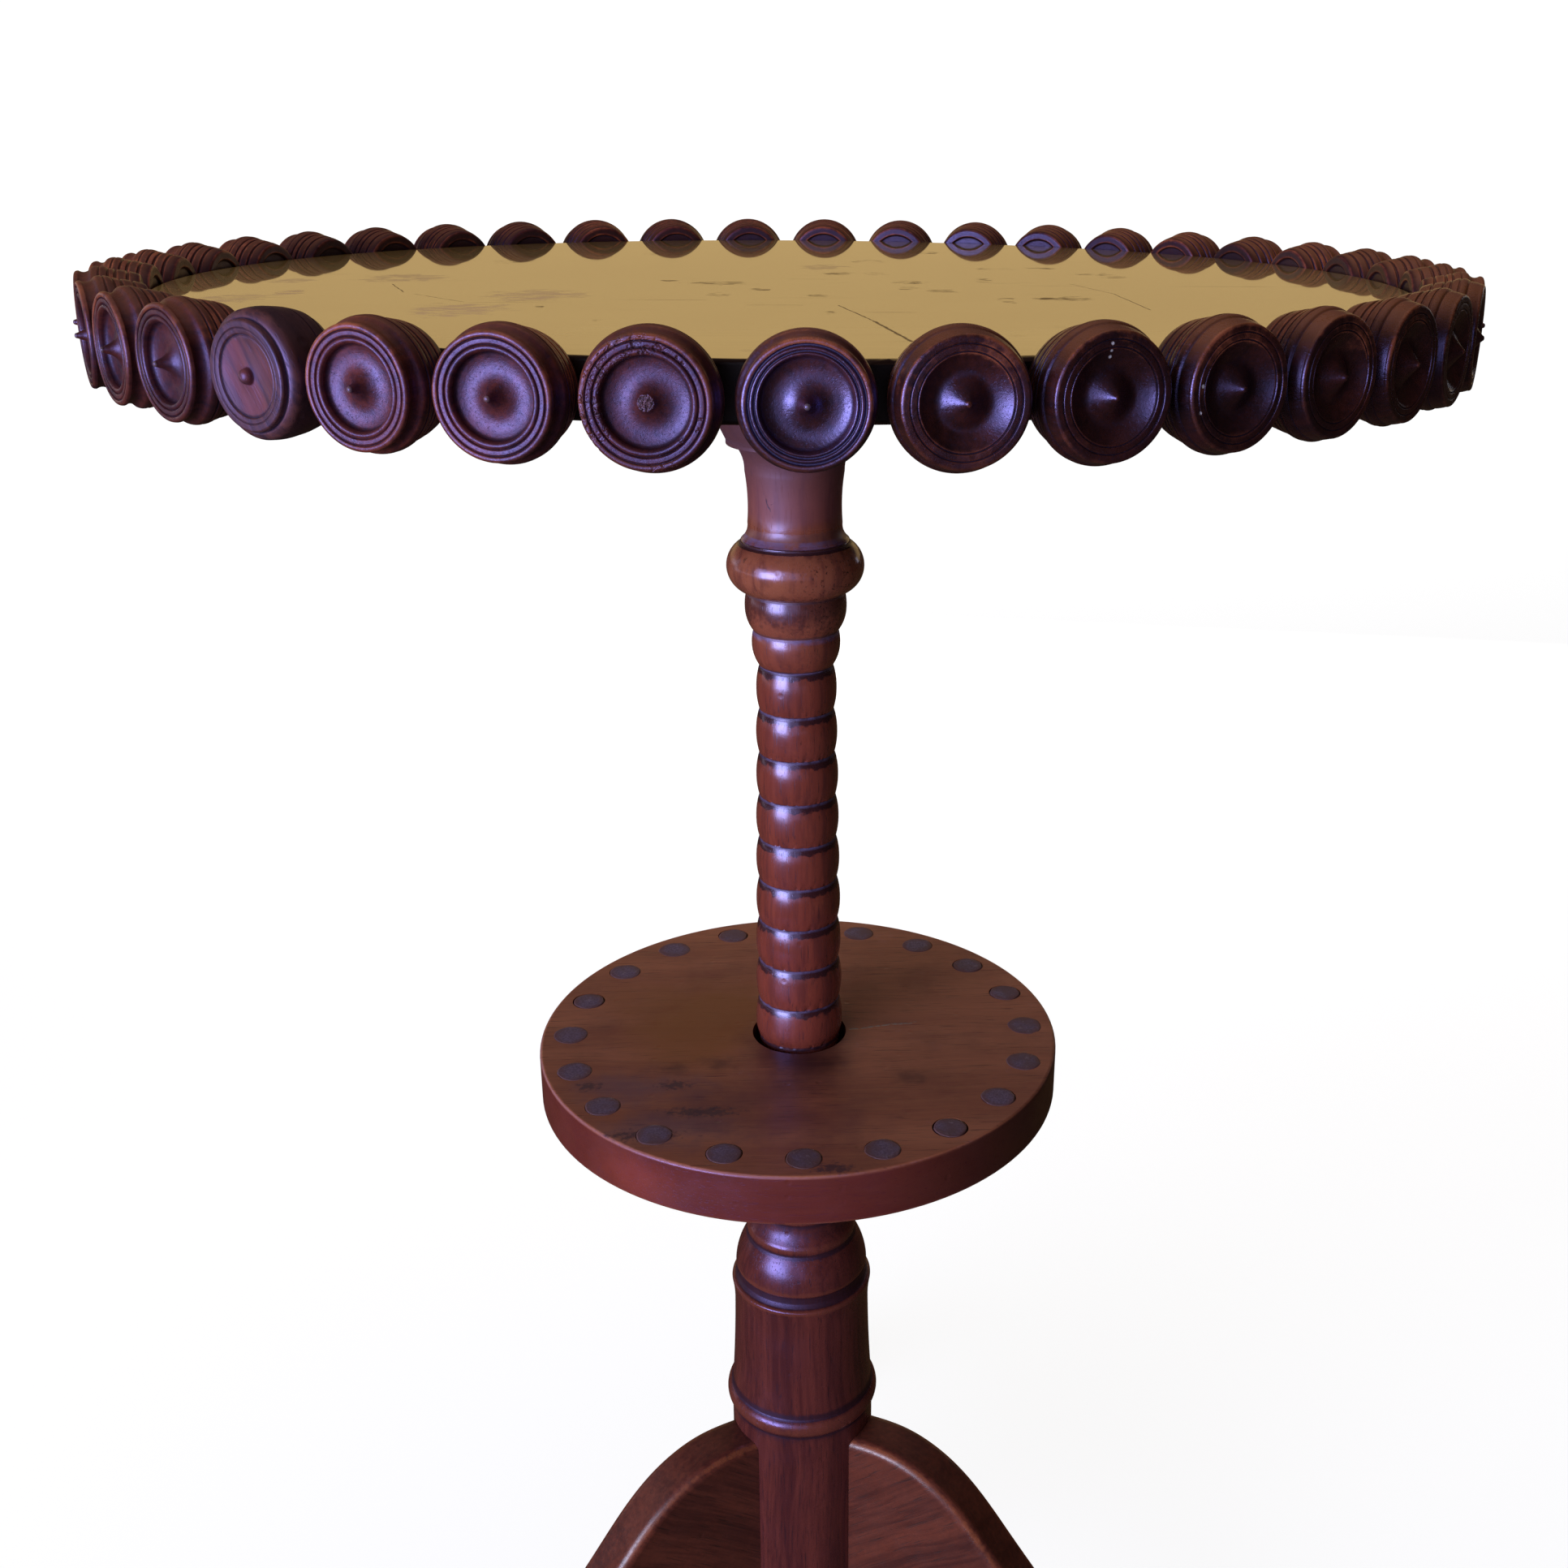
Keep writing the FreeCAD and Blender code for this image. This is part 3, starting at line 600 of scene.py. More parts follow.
colour, roughness, height = waxed_mahogany(
    place, place, carried(place, "lift"),
    pale=tone(130, 60, 46), deep=tone(112, 49, 39), rubbed=tone(162, 86, 58), dirt=tone(26, 13, 22), gloss=0.21,
    ribbon=0.5, rubbing=0.4,
)
part = millimetres(place)
up = part["Z"]
tan = times(
    rising(up, rings_top - 19.5, rings_top + 45.5),
    rising(cloud(place, 60, 4), 0.25, 0.75, 0.35, 0.75),
)
streaked = rising(cloud(place, 1, 5, (230, 230, 26)), 0.46, 0.68)
on_bead = times(
    rising(up, bead_foot + 0.3, bead_foot + 1.3),
    rising(up, collar_foot - 0.4, collar_foot + 0.2, 1.0, 0.0),
)
speckled = times(reckon("SUBTRACT", cloud(place, 620, 5), 0.42), on_bead)
ragged = summed(carried(place, "stain"), (tatter(place, 210, 6), 0.9), (speckled, 1.0))
stained = rising(ragged, summed(0.46, (on_bead, -0.22)), summed(0.60, (on_bead, 0.24)))
old_black = rising(cloud(place, 1, 5, (300, 300, 110)), 0.67, 0.73)
pitted = times(
    rising(cloud(place, 1, 5, (900, 900, 640)), 0.57, 0.65),
    rising(part["X"], -8, 12, 0.15, 0.9), rising(up, rings_top - 2.5, rings_top + 25.5),
    rising(up, neck_foot - 9.6, neck_foot + 2.4, 1.0, 0.2),
)
# The ledges at the tops of the rings, the bead and the neck foot are tinted violet-grey: some dust, and partly a
# painted sheen of cool light from above.
dust_and_painted_sheen = times(carried(place, "ledge"), rising(cloud(place, 260, 4), 0.3, 0.6, 0.1, 0.6))
check = reckon(
    "MAXIMUM", line(place, (-15.5, -13.8, 662), (-9.6, -18.4, 644), 0.5, 0.003),
    line(place, (-11.4, -17.4, 648.5), (-8.4, -19, 651.5), 0.35, 0.004),
)
colour = coated(
    colour, (tan, 1.0, tone(158, 92, 66)), (streaked, 0.6, tone(86, 40, 38)),
    (stained, rising(on_bead, 0.0, 1.0, 0.88, 0.66), tone(44, 21, 28)), (old_black, 0.6, tone(40, 22, 20)),
    (pitted, 1.0, tone(52, 26, 24)), (dust_and_painted_sheen, 1.0, tone(112, 94, 136)),
    (rising(up, neck_foot + 4.4, neck_foot + 14.4), 0.6, tone(116, 48, 22)),
    # Painted shadow: the neck darkens towards the capital, as if shaded by the top above it.
    (rising(up, neck_foot + 10.4, neck_foot + 46.4), 0.7, tone(66, 36, 30)), (check, 0.85, tone(44, 20, 24)),
)
on_collar = times(
    rising(up, collar_foot - 4, collar_foot), rising(up, collar_top - 2.3, collar_top + 0.7, 1.0, 0.0),
)
on_neck = rising(up, neck_foot + 5.4, neck_foot + 13.4)
roughness = summed(roughness, (on_collar, -0.02), (on_neck, 0.44))
settle(shader, colour, roughness, summed(height, (check, -1.5)), 0.00006)
polished(shader, 1.0, (0.62, 0.57, 1.0, 1.0), 1.57)
upper_mesh.materials.append(finish)
shown_piece("upper_column_turned", upper_mesh, "column_wood", "upper_column")

# Block, wedge and pegs.
# A round block with a chamfered lower edge is screwed under the top and takes the column's tenon, spread by a wedge;
# dowels hold the roundels. All are bare wood, oiled and darkened by handling.

finish, shader, place = new_finish("oiled_bare_wood")
grain_place = put("Mapping", {"Vector": place, "Rotation": (0, math.radians(90), 0)})[0]
settle(shader, *waxed_mahogany(
    place, grain_place, -0.1,
    pale=tone(104, 66, 44), deep=tone(74, 44, 32), rubbed=tone(140, 96, 66), dirt=tone(34, 22, 18), gloss=0.55,
), 0.00015)
for node in ("top_block", "tenon_wedge", "roundel_pegs"):
    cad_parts[node].data.materials[0] = finish

# Top board.
# A round board painted ochre on its upper face and varnished, with a dark bare edge. The paint is streaked and
# scratched, rubbed grey in patches, nicked through to the wood, and cracked where the board has shrunk.

board_top = 740.0
board_radius = 250.0
finish, shader, place = new_finish("ochre_painted_board")
brushed = cloud(place, 1, 4, (5, 190, 1))
rubbed = spots(place, board_top, [
    ((-160, 4), (19, 22)), ((-97, -68), (21, 24)), ((-117, -121), (18, 27)), ((-204, -81), (12, 18)),
    ((-201, -11), (10, 12)), ((-190, -61), (6, 12)), ((14, 66), (12, 16)),
], 0.9, 120)
rubbed = times(rubbed, rising(cloud(place, 1, 6, (120, 330, 1)), 0.36, 0.60))
nicked = spots(place, board_top, [
    ((-29, -13), (15, 11)), ((-13, -40), (5, 8)), ((37, 103), (10, 10)), ((21, 34), (9, 7)), ((36, 33), (6, 8)),
    ((48, -8), (8, 9)), ((45, -33), (5, 8)), ((58, -46), (7, 7)), ((-29, -62), (5, 8)), ((9, -66), (6, 6)),
    ((11, -126), (3, 5)), ((93, 61), (10, 7)), ((113, 66), (9, 7)), ((80, 1), (4, 15)), ((132, 35), (10, 7)),
    ((139, 20), (7, 7)), ((79, -80), (4, 12)), ((95, -75), (6, 6)), ((105, -74), (8, 9)), ((209, -98), (3, 7)),
    ((-91, -109), (2, 5)), ((-51, -3), (4, 5)), ((-67, -151), (2, 4)), ((-130, 90), (9, 9)), ((-60, 140), (11, 8)),
    ((70, 160), (9, 9)), ((180, 70), (8, 8)), ((-20, 190), (10, 8)),
], 1.0, 330)
nicked = times(nicked, rising(cloud(place, 1, 5, (90, 330, 1)), 0.50, 0.58))
scratches = times(
    rising(cloud(place, 1, 2, (9, 260, 1)), 0.67, 0.72),
    rising(cloud(place, 14, 3), 0.45, 0.62),
)
specks = put("Group", {"Place": place, "Per metre": 60.0, "Share": 0.12}, node_tree=small_knocks)[0]
cracks = 0.0
for start, end, width in (
    ((15, -101), (25, -153), 0.5), ((25, -153), (33, -208), 0.9), ((114, -12), (124, -54), 0.35),
    ((124, -54), (126, -114), 0.4), ((-159, -24), (-148, -57), 0.4), ((-143, -64), (-120, -93), 0.35),
    ((-18, -101), (2, -101), 0.4),
):
    crack = line(place, (*start, board_top), (*end, board_top), width, 0.0015)
    cracks = reckon("MAXIMUM", crack, cracks)
paint = laid_over(
    rising(cloud(place, 6, 4), 0.35, 0.65), tone(178, 147, 88), tone(194, 164, 100)
)
paint = coated(
    paint, (rising(brushed, 0.45, 0.75), 0.35, tone(160, 128, 70)), (rubbed, 0.8, tone(182, 140, 140)),
    (scratches, 0.35, tone(122, 94, 56)), (specks, 0.5, tone(104, 76, 48)), (nicked, 0.85, tone(92, 64, 38)),
    (cracks, 0.85, tone(64, 40, 36)),
)
ragged = times(cloud(place, 120, 5), 1.2)
painted = times(
    rising(reckon("ADD", millimetres(place)["Z"], ragged), board_top - 1.0, board_top - 0.2),
    rising(reckon("ADD", off_axis(place), ragged), board_radius - 1.4, board_radius - 0.2, 1.0, 0.0),
)
bare_edge = laid_over(cloud(place, 1, 4, (60, 60, 500)), tone(26, 15, 15), tone(48, 28, 24))
# Painted shade: the paint is mixed towards dark brown where the board is seen at a flat angle, so it darkens with the
# angle of view.
glancing_painted_shade = rising(beside(place, "LayerWeight").outputs["Facing"], 0.86, 0.955)
colour = coated(bare_edge, (painted, 1.0, paint), (glancing_painted_shade, 0.85, tone(70, 40, 14)))
hurt = reckon("MAXIMUM", reckon("MAXIMUM", nicked, cracks), times(scratches, 0.5))
roughness = summed(0.42, (reckon("MAXIMUM", rubbed, hurt), 0.3))
settle(shader, colour, roughness, summed(times(brushed, 0.06), (hurt, -1.0)), 0.00010)
dulled = reckon("MAXIMUM", times(rubbed, 0.35), times(hurt, 0.8))
link(times(reckon("SUBTRACT", 1.0, dulled), painted), shader["Coat Weight"])
shader["Coat Roughness"].default_value = 0.03
shader["Specular IOR Level"].default_value = 0.2
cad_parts["top_board"].data.materials[0] = finish

# Roundels.
# Turned mahogany knobs pegged side by side round the top's edge, each dished on its face with a cone and nipple in
# the middle. Most have bold rings inside the rim, the front one with wider grooves; the seven on its right are finer,
# stouter, darker and glossier, and two of them are spotted with pale paint.

roundel_count = 39
rim_height = 730.75
front_roundel, last_fine_roundel, replaced_roundel, chipped_roundel = 1, 8, 36, 39
roundel_back = [
    (0, 11.1), (4.1, 11.1), (4.1, 0.1), (7.06, 0.1), (7.84, 1.11), (12.15, 1.11), (12.94, 0.1), (15.48, 0.1),
    (16.27, 0.42), (16.66, 1.23),
]
roundel_side = [
    (17.44, 3.81), (16.9, 4.26), (16.9, 4.71), (17.68, 5.09), (18.23, 7.86), (17.64, 8.31), (17.64, 8.76),
    (18.42, 9.14), (18.75, 10.5), (18.25, 10.8), (18.3, 11.05), (18.95, 11.4), (19.35, 12.4, 19.55, 13.6),
    (19.15, 13.85), (19.15, 14.1), (19.55, 14.35), (19.5, 15.6, 19.15, 16.55), (18.75, 16.95),
]
bold_rim = [(17.6, 18.8, 17.95, 20.8), (18.15, 21.1), (18.05, 21.8), (17.6, 22.45, 16.9, 22.6)]
fine_rim = [(18.55, 17.15), (18.7, 17.4), (18.4, 19.3, 17.85, 21.1), (17.9, 21.5), (17.65, 22.05), (17.1, 22.35)]
inner_groove, outer_groove = 14.22, 16.15
bold_face = [
    (16.5, 22.5), (16.35, 22.3), (outer_groove, 21.75), (15.95, 22.3), (15.75, 22.45), (14.6, 22.42), (14.4, 22.25),
    (inner_groove, 21.6), (14.05, 22.15), (13.85, 22.3), (13.1, 22.45, 12.5, 22.0), (12.2, 21.2),
    (11.95, 19.95, 11.1, 19.4), (9.6, 18.98, 8.2, 18.85), (5.2, 19.3, 2.9, 20.7), (1.9, 22.1, 1.3, 23.7),
]
front_face = [
    (16.55, 22.5), (16.2, 21.6), (15.75, 21.7), (15.5, 22.3), (15.25, 22.42), (14.75, 22.36), (14.55, 21.6),
    (14.15, 21.6), (13.95, 22.15), (13.6, 22.25, 13.2, 21.9), (12.8, 20.8), (12.4, 19.8, 11.5, 19.25),
    (9.8, 18.65, 8.2, 18.5), (5.2, 19.0, 2.9, 20.5), (1.9, 22.0, 1.3, 23.7),
]
fine_face = [
    (15.55, 22.35), (15.4, 21.85), (15.25, 21.85), (15.1, 22.3), (13.5, 22.3), (13.35, 21.75), (13.2, 21.75),
    (13.05, 22.15), (12.8, 22.1), (10.2, 20.2, 8.6, 19.4), (7.3, 19.2, 6.0, 19.7), (3.4, 21.55, 1.3, 23.4),
]
bold_tip = [(1.1, 24.1), (0.95, 24.5), (0.92, 24.8), (0.6, 25.25, 0, 25.4)]
fine_tip = [(0.95, 23.8), (0.6, 24.25, 0, 24.4)]
fine_stoutness = 1.045


def roundel_place(number):
    """Where a roundel sits: its own axis points out of the rim, its second axis up."""
    turn = 2 * math.pi * (number - 1) / roundel_count - math.pi / 2
    out, up = Vector((math.cos(turn), math.sin(turn), 0)), Vector((0, 0, 1))
    seat = Matrix((up.cross(out), up, out)).transposed().to_4x4()
    seat.translation = out * board_radius / 1000 + up * rim_height / 1000
    return seat


def roundel_mesh(name, steps, finish, rings_rubbed, segments=112, stride=0.8, carve=None):
    """A turned roundel; its face's rings are rubbed less than its rim, and its nipple's tip is worn bare."""
    face_foot, face_radius, tip_foot = 17.2, 16.4, 24.6
    outline = eased(turner_outline(roundel_back + steps, 0.08), 2)
    lift = standing_out(outline, 7, 0.3)
    on_face = (outline.imag > face_foot) & (outline.real < face_radius)
    lift = np.where(on_face & (lift > 0), lift * rings_rubbed, lift)
    bare = np.where(outline.imag > tip_foot, 0.2, 0.0)
    mesh = turned_mesh(name, outline, segments, stride, {"lift": lift, "bare": bare}, carve)
    mesh.materials.append(finish)
    return mesh


def roundel_finish(name, pale, deep, rubbed, gloss, rubbing, polish, specks=()):
    """Dark polished mahogany whose tone changes a little from one roundel to the next; polish is its refractive index,
    and each speck is given by its roundel, its place on the face and its size."""
    dirt = tone(12, 6, 8)
    finish, shader, own = new_finish(name)
    surface = beside(own, "NewGeometry").outputs
    place = surface["Position"]
    own_part = millimetres(own)
    grain_place = vector("MULTIPLY_ADD", beside(own, "ObjectInfo").outputs["Location"], (3, 3, 3), own)
    lift = carried(place, "lift")
    colour, roughness, height = waxed_mahogany(
        place, grain_place, lift, pale=pale, deep=deep, rubbed=rubbed, dirt=dirt, gloss=gloss, ribbon=0.5,
        # The rubbed wear grows towards each roundel's top: wear, and partly painted light from above.
        rubbing=rising(own_part["Y"], -12, 14, 0.35 * rubbing, rubbing),
    )
    speckle = cloud(place, 1100, 4)
    unrubbed = times(
        rising(own_part["Z"], 15.5, 17.2, 1.0, 0.0), rising(lift, 0.05, 0.35, 1.0, 0.0),
    )
    # Painted light: the upward-facing top of each roundel's rim is tinted copper, more so towards the right, for warm
    # light falling from above and the right.
    painted_warm_light = times(
        rising(off_axis(own), 16.4, 17.2),
        rising(put("SeparateXYZ", {0: surface["Normal"]})["Z"], 0.3, 1.0, 0.0, 0.9),
        rising(millimetres(place)["X"], -100, 200, 0.35, 0.7),
    )
    colour = coated(
        colour, (rising(cloud(place, 16, 0), 0.4, 0.65), 0.45, dirt),
        (rising(speckle, 0.60, 0.72), 0.5, dirt), (unrubbed, 0.75, tone(38, 20, 13)),
        (painted_warm_light, 1.0, tone(136, 82, 44)), (carried(place, "bare"), 1.0, tone(160, 140, 146)),
    )
    for number, speck, reach in specks:
        centre = roundel_place(number) @ (Vector((*speck, 21)) / 1000)
        given = {"Place": place, "Centre": centre, "Reach": Vector((reach, 3, reach)) / 1000}
        nearness = put("Group", given, node_tree=worn_spot)[0]
        colour = coated(colour, (rising(nearness, 0.1, 0.5), 0.85, tone(200, 192, 196)))
    roughness = reckon("SUBTRACT", roughness, 0.12)
    settle(shader, colour, summed(roughness, (speckle, 0.24)), summed(height, (speckle, 0.9)), 0.00008)
    polished(shader, 1.0, index=polish)
    return finish


bold_finish = roundel_finish(
    "bold_roundel_mahogany", tone(98, 42, 29), tone(54, 22, 16), tone(164, 88, 56),
    gloss=0.41, rubbing=0.85, polish=1.45,
)
front_finish = roundel_finish(
    "front_roundel_mahogany", tone(74, 32, 22), tone(42, 18, 13), tone(164, 88, 56),
    gloss=0.34, rubbing=0.85, polish=1.72,
)
fine_finish = roundel_finish(
    "fine_roundel_mahogany", tone(60, 25, 18), tone(32, 14, 11), tone(152, 82, 56),
    gloss=0.30, rubbing=0.75, polish=1.57, specks=[
        (3, (-1.2, 14.9), 0.8), (3, (-1.3, 12.9), 0.6), (3, (-1.4, 11), 0.7),
        (4, (-13.9, 1.6), 1.0), (4, (-14.2, -6), 0.8),
    ],
)
bold_mesh = roundel_mesh("bold_roundel", roundel_side + bold_rim + bold_face + bold_tip, bold_finish, 0.1)
front_mesh = roundel_mesh("front_roundel", roundel_side + bold_rim + front_face + bold_tip, front_finish, 0.25)
fine_mesh = roundel_mesh(
    "fine_roundel", roundel_side + fine_rim + fine_face + fine_tip, fine_finish, 0.8,
    carve=lambda places: places * (fine_stoutness, fine_stoutness, 1),
)
for number in range(1, roundel_count + 1):
    if number in (replaced_roundel, chipped_roundel):
        continue
    mesh = front_mesh if number == front_roundel else fine_mesh if number <= last_fine_roundel else bold_mesh
    shown_piece(
        "roundel_turned_%02d" % number, mesh, "roundel_wood", "roundel_%02d" % number, place=roundel_place(number),
    )

# Chipped roundel.
# A bold roundel, a little stouter than its neighbours, whose rings have broken away along the grain on its left, with
# its nipple snapped off short.

chipped_stoutness = 1.03
chip_marks = []


def broken_rings(places):
    """Breaks flakes off the rim and rings, most of them on the left, and leaves a short stump of the nipple."""
    rings_inside, rings_foot = 12.2, 19.8
    stump_radius, stump_foot, stump_height = 2.2, 21.4, 21.5
    worst_turn = 2.6
    for place in places.reshape(-1, 3):
        out = math.hypot(place[0], place[1])
        turn = math.atan2(place[1], place[0])
        flat = Vector((place[0], place[1], 0))
        bare = 0.0
        if out > rings_inside and place[2] > rings_foot:
            left = max(0.0, math.cos(turn - worst_turn) - 0.2) / 0.8
            ring = 0 if out < inner_groove else 1 if out < outer_groove else 2
            along = turn * 4.5 + 1.4 * noise.noise(flat * 0.6 + Vector((0, 0, 5 * ring)))
            piece = 0.5 + 0.5 * noise.cell(Vector((along, 3.7 * ring, 0.5)))
            crumb = noise.fractal(flat * 0.8 + Vector((0, 0, 8)), 0.7, 2.2, 5)
            if piece + 0.5 * crumb < 0.6 * left - 0.05:
                place[2] -= 0.2 + 0.35 * piece + 0.3 * abs(crumb)
                bare = 0.25 * piece
            elif left > 0.1 and along % 1.0 < 0.07:
                place[2] -= 0.35
        if out < stump_radius and place[2] > stump_foot:
            place[2] = stump_height + 0.7 * noise.fractal(flat * 1.1 + Vector((0, 0, 4)), 0.8, 2.0, 3)
            bare = 0.14
        chip_marks.append(bare)
    return places * (chipped_stoutness, chipped_stoutness, 1)


chipped_mesh = roundel_mesh(
    "chipped_roundel", roundel_side + bold_rim + bold_face + bold_tip, bold_finish, 0.1, 400, 0.4, broken_rings
)
chipped_mesh.attributes["bare"].data.foreach_set("value", np.array(chip_marks, np.float32))
shown_piece("roundel_turned_39", chipped_mesh, "roundel_wood", "roundel_39", place=roundel_place(chipped_roundel))

# Replaced roundel.
# An old repair of another pattern in dull purple-brown wood: a rounded shoulder and a flat face with open grain, a
# shallow ring and a small domed centre. Never polished like the rest.

replaced_side = [
    (17.64, 2.58), (17.15, 2.91), (17.84, 3.25), (18.72, 6.85), (18.23, 7.19), (18.82, 7.53), (19.31, 11.8),
    (19.4, 14.6, 19.15, 17.2), (18.6, 19.0, 16.95, 20.2),
]
replaced_face = [
    (16.6, 19.9), (16.4, 20.3), (16.35, 21.2), (16.1, 22.0, 15.39, 22.26), (14.11, 22.26), (13.88, 21.81),
    (13.64, 22.15), (12.35, 21.93), (11.96, 21.14), (11.52, 21.48), (7.06, 20.91, 2.6, 21.03), (2.4, 21.5),
    (1.75, 23.2, 0, 23.7),
]
finish, shader, place = new_finish("replaced_roundel_wood")
grain_place = put("Mapping", {"Vector": place, "Rotation": (math.radians(90), math.radians(35), 0)})[0]
colour, roughness, height = waxed_mahogany(
    place, grain_place, carried(place, "lift"),
    pale=tone(92, 52, 46), deep=tone(50, 27, 28), rubbed=tone(120, 74, 62), dirt=tone(26, 14, 18), gloss=0.46,
    ribbon=0.25, rubbing=0.4,
)
inside = rising(off_axis(place), 10.8, 11.6, 0.5, 0.0)
smeared = rising(cloud(grain_place, 1, 3, (160, 160, 14)), 0.36, 0.60)
side = rising(millimetres(place)["Z"], 16.5, 18.0, 1.0, 0.0)
colour = coated(colour, (inside, smeared, tone(122, 56, 50)), (side, 0.7, tone(36, 20, 16)))
settle(shader, colour, roughness, height, 0.00018)
polished(shader, 0.9)
replaced_mesh = roundel_mesh("replaced_roundel", replaced_side + replaced_face, finish, 0.6)
shown_piece(
    "roundel_turned_36", replaced_mesh, "replaced_roundel_wood", "roundel_36", place=roundel_place(replaced_roundel),
)

# Floor and backdrop.
# One pale sheet that lies on the floor and sweeps up behind the table. Out of the camera's sight a warm card behind, a
# cool one in front and dark felt around are what the polish mirrors.

half_width, front_edge, bend_start, bend_radius, back_top = 9.0, -7.0, 2.5, 1.5, 6.0
bend = [
    (bend_start + bend_radius * math.sin(a), bend_radius * (1 - math.cos(a))) for a in np.linspace(0, math.pi / 2, 24)
]
sweep = [(front_edge, 0.0)] + bend + [(bend_start + bend_radius, back_top)]
floor_places = [(side * half_width, y, z) for y, z in sweep for side in (-1, 1)]
floor_faces = [(2 * k, 2 * k + 1, 2 * k + 3, 2 * k + 2) for k in range(len(sweep) - 1)]
floor_mesh = bpy.data.meshes.new("studio_sweep")
floor_mesh.from_pydata(floor_places, [], floor_faces)
floor_mesh.shade_smooth()
finish, shader = new_shader("pale_studio_paper")
shader["Base Color"].default_value = (0.22, 0.22, 0.23, 1)
shader["Roughness"].default_value = 0.9
shader["Specular IOR Level"].default_value = 0.0
shader["Emission Color"].default_value = (1, 1, 1, 1)
rays = beside(shader["Emission Strength"], "LightPath").outputs
seen = reckon("MAXIMUM", rays["Is Glossy Ray"], rays["Is Transmission Ray"])
seen = reckon("MAXIMUM", rays["Is Camera Ray"], seen)
surface = beside(shader["Emission Strength"], "NewGeometry").outputs
depth = put("SeparateXYZ", {0: surface["Position"]})["Y"]
link(times(seen, rising(depth, 0.6, 3.4, 0.85, 0.99)), shader["Emission Strength"])
floor_mesh.materials.append(finish)
studio_floor = bpy.data.objects.new("studio_sweep", floor_mesh)
bpy.context.scene.collection.objects.link(studio_floor)


def reflector(name, corners, colour, strength):
    """A flat card that only reflections see: it shapes the gloss and casts no shadow."""
    mesh = bpy.data.meshes.new(name)
    mesh.from_pydata(corners, [], [(0, 1, 2, 3)])
    finish, shader = new_shader(name + "_paper")
    shader["Base Color"].default_value = (0, 0, 0, 1)
    shader["Specular IOR Level"].default_value = 0.0
    shader["Emission Color"].default_value = colour
    shader["Emission Strength"].default_value = strength
    mesh.materials.append(finish)
    card = bpy.data.objects.new(name, mesh)
    bpy.context.scene.collection.objects.link(card)
    card.visible_camera = False
    card.visible_shadow = False
    card.visible_diffuse = False
    return card


def upright_card(name, left, right, y, foot, top, colour, strength=1.0):
    """A reflector that stands across the view."""
    corners = [(left, y, foot), (right, y, foot), (right, y, top), (left, y, top)]
    return reflector(name, corners, colour, strength)


warm_card = upright_card("warm_card", -2.4, 2.4, 2.2, 0.7, 1.3, tone(190, 160, 106), 1.2)
dark_screen = upright_card("dark_screen", -4, 4, 2.2, 1.3, 5, tone(72, 58, 62))
dark_felt = reflector(
    "dark_felt", [(-5, -5, 0.02), (5, -5, 0.02), (5, 2.2, 0.02), (-5, 2.2, 0.02)], tone(60, 46, 30), 1.0
)
dark_side = reflector(
    "dark_side", [(2.9, -6, 0.02), (2.9, 2.2, 0.02), (2.9, 2.2, 5), (2.9, -6, 5)], tone(40, 30, 20), 1.0
)
dark_foot = upright_card("dark_foot", -4, 4, 2.2, 0.02, 0.7, tone(64, 48, 38))
cool_card = upright_card("cool_card", -1.1, 0.2, -2.6, 0.2, 1.5, (0.66, 0.72, 1.0, 1))

# Light and camera.
# A wide cool soft box like a window on the left, weak warm ones on the right and behind, and a soft light overhead. The
# camera stands where the photograph was taken, looking down past the rim, its frame shifted as the photograph's is.

world = bpy.data.worlds.new("studio_air")
world.use_nodes = True
world.node_tree.nodes["Background"].inputs["Color"].default_value = (1.0, 0.88, 0.72, 1)
world.node_tree.nodes["Background"].inputs["Strength"].default_value = 0.05
bpy.context.scene.world = world


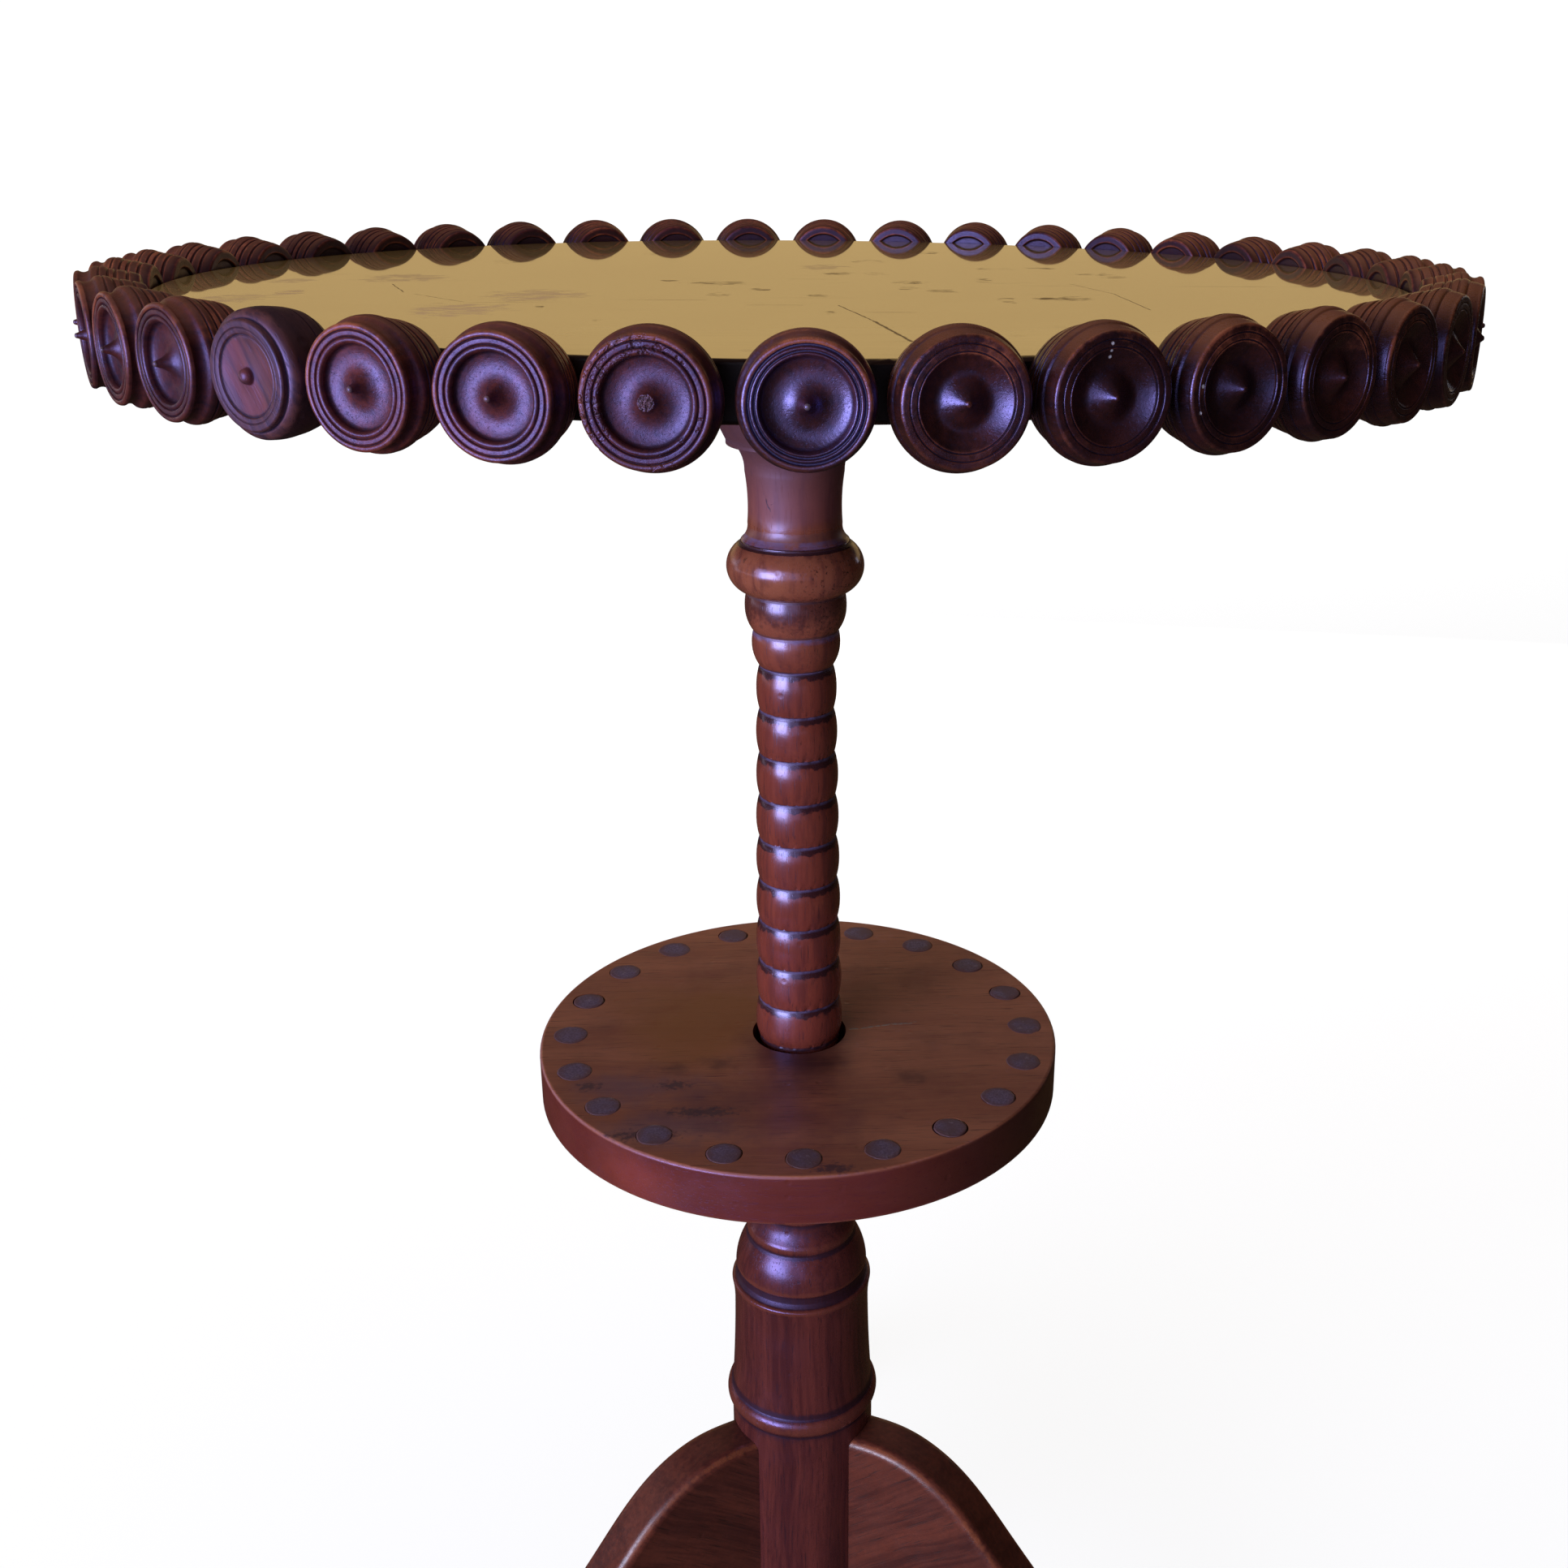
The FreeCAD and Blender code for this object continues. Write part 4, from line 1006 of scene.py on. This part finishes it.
def soft_box(name, place, aim, width, height, power, colour, mirrored):
    lamp = bpy.data.lights.new(name, "AREA")
    lamp.shape = "RECTANGLE"
    lamp.size, lamp.size_y, lamp.energy, lamp.color = width, height, power, colour
    box = bpy.data.objects.new(name, lamp)
    box.location = place
    box.rotation_euler = (Vector(aim) - Vector(place)).to_track_quat("-Z", "Y").to_euler()
    box.visible_glossy = mirrored
    bpy.context.scene.collection.objects.link(box)


soft_box("cool_soft_box", (-1.85, -1.85, 0.70), (0, 0, 0.62), 1.4, 1.0, 52, (0.66, 0.72, 1.0), True)
soft_box("cool_sky_box", (-1.9, -2.15, 1.06), (0, 0, 0.9), 3.0, 2.0, 70, (0.66, 0.72, 1.0), True)
soft_box("warm_soft_box", (2.4, -1.4, 1.3), (0, 0, 0.6), 1.6, 1.6, 2, (1.0, 0.80, 0.55), False)
soft_box("ceiling_soft_box", (0, 0.6, 3.2), (0, 0, 0), 2.6, 2.6, 39, (1.0, 0.93, 0.84), False)
soft_box("back_soft_box", (0.4, 2.1, 0.45), (0, 0, 0.45), 2.0, 0.6, 26, (1.0, 0.93, 0.84), False)

camera_turn, camera_pitch, camera_roll = 0.06259, 0.37073, -0.0095
camera_distance, camera_height, camera_bearing = 0.73877, 0.80296, -0.01299
level_share = math.cos(camera_pitch)
forward = Vector((
    math.sin(camera_turn) * level_share, math.cos(camera_turn) * level_share, -math.sin(camera_pitch),
))
level_right = Vector((math.cos(camera_turn), -math.sin(camera_turn), 0))
level_down = forward.cross(level_right)
right = math.cos(camera_roll) * level_right + math.sin(camera_roll) * level_down
up = math.sin(camera_roll) * level_right - math.cos(camera_roll) * level_down
eye = Matrix((right, up, -forward)).transposed().to_4x4()
eye.translation = (
    camera_distance * math.sin(camera_bearing), -camera_distance * math.cos(camera_bearing), camera_height,
)
lens = bpy.data.cameras.new("photograph_view")
lens.sensor_width = 36.0
lens.lens = 39.32
lens.shift_x = -0.059
camera = bpy.data.objects.new("photograph_view", lens)
camera.matrix_world = eye
bpy.context.scene.collection.objects.link(camera)
bpy.context.scene.camera = camera
bpy.context.scene.view_settings.view_transform = "Standard"
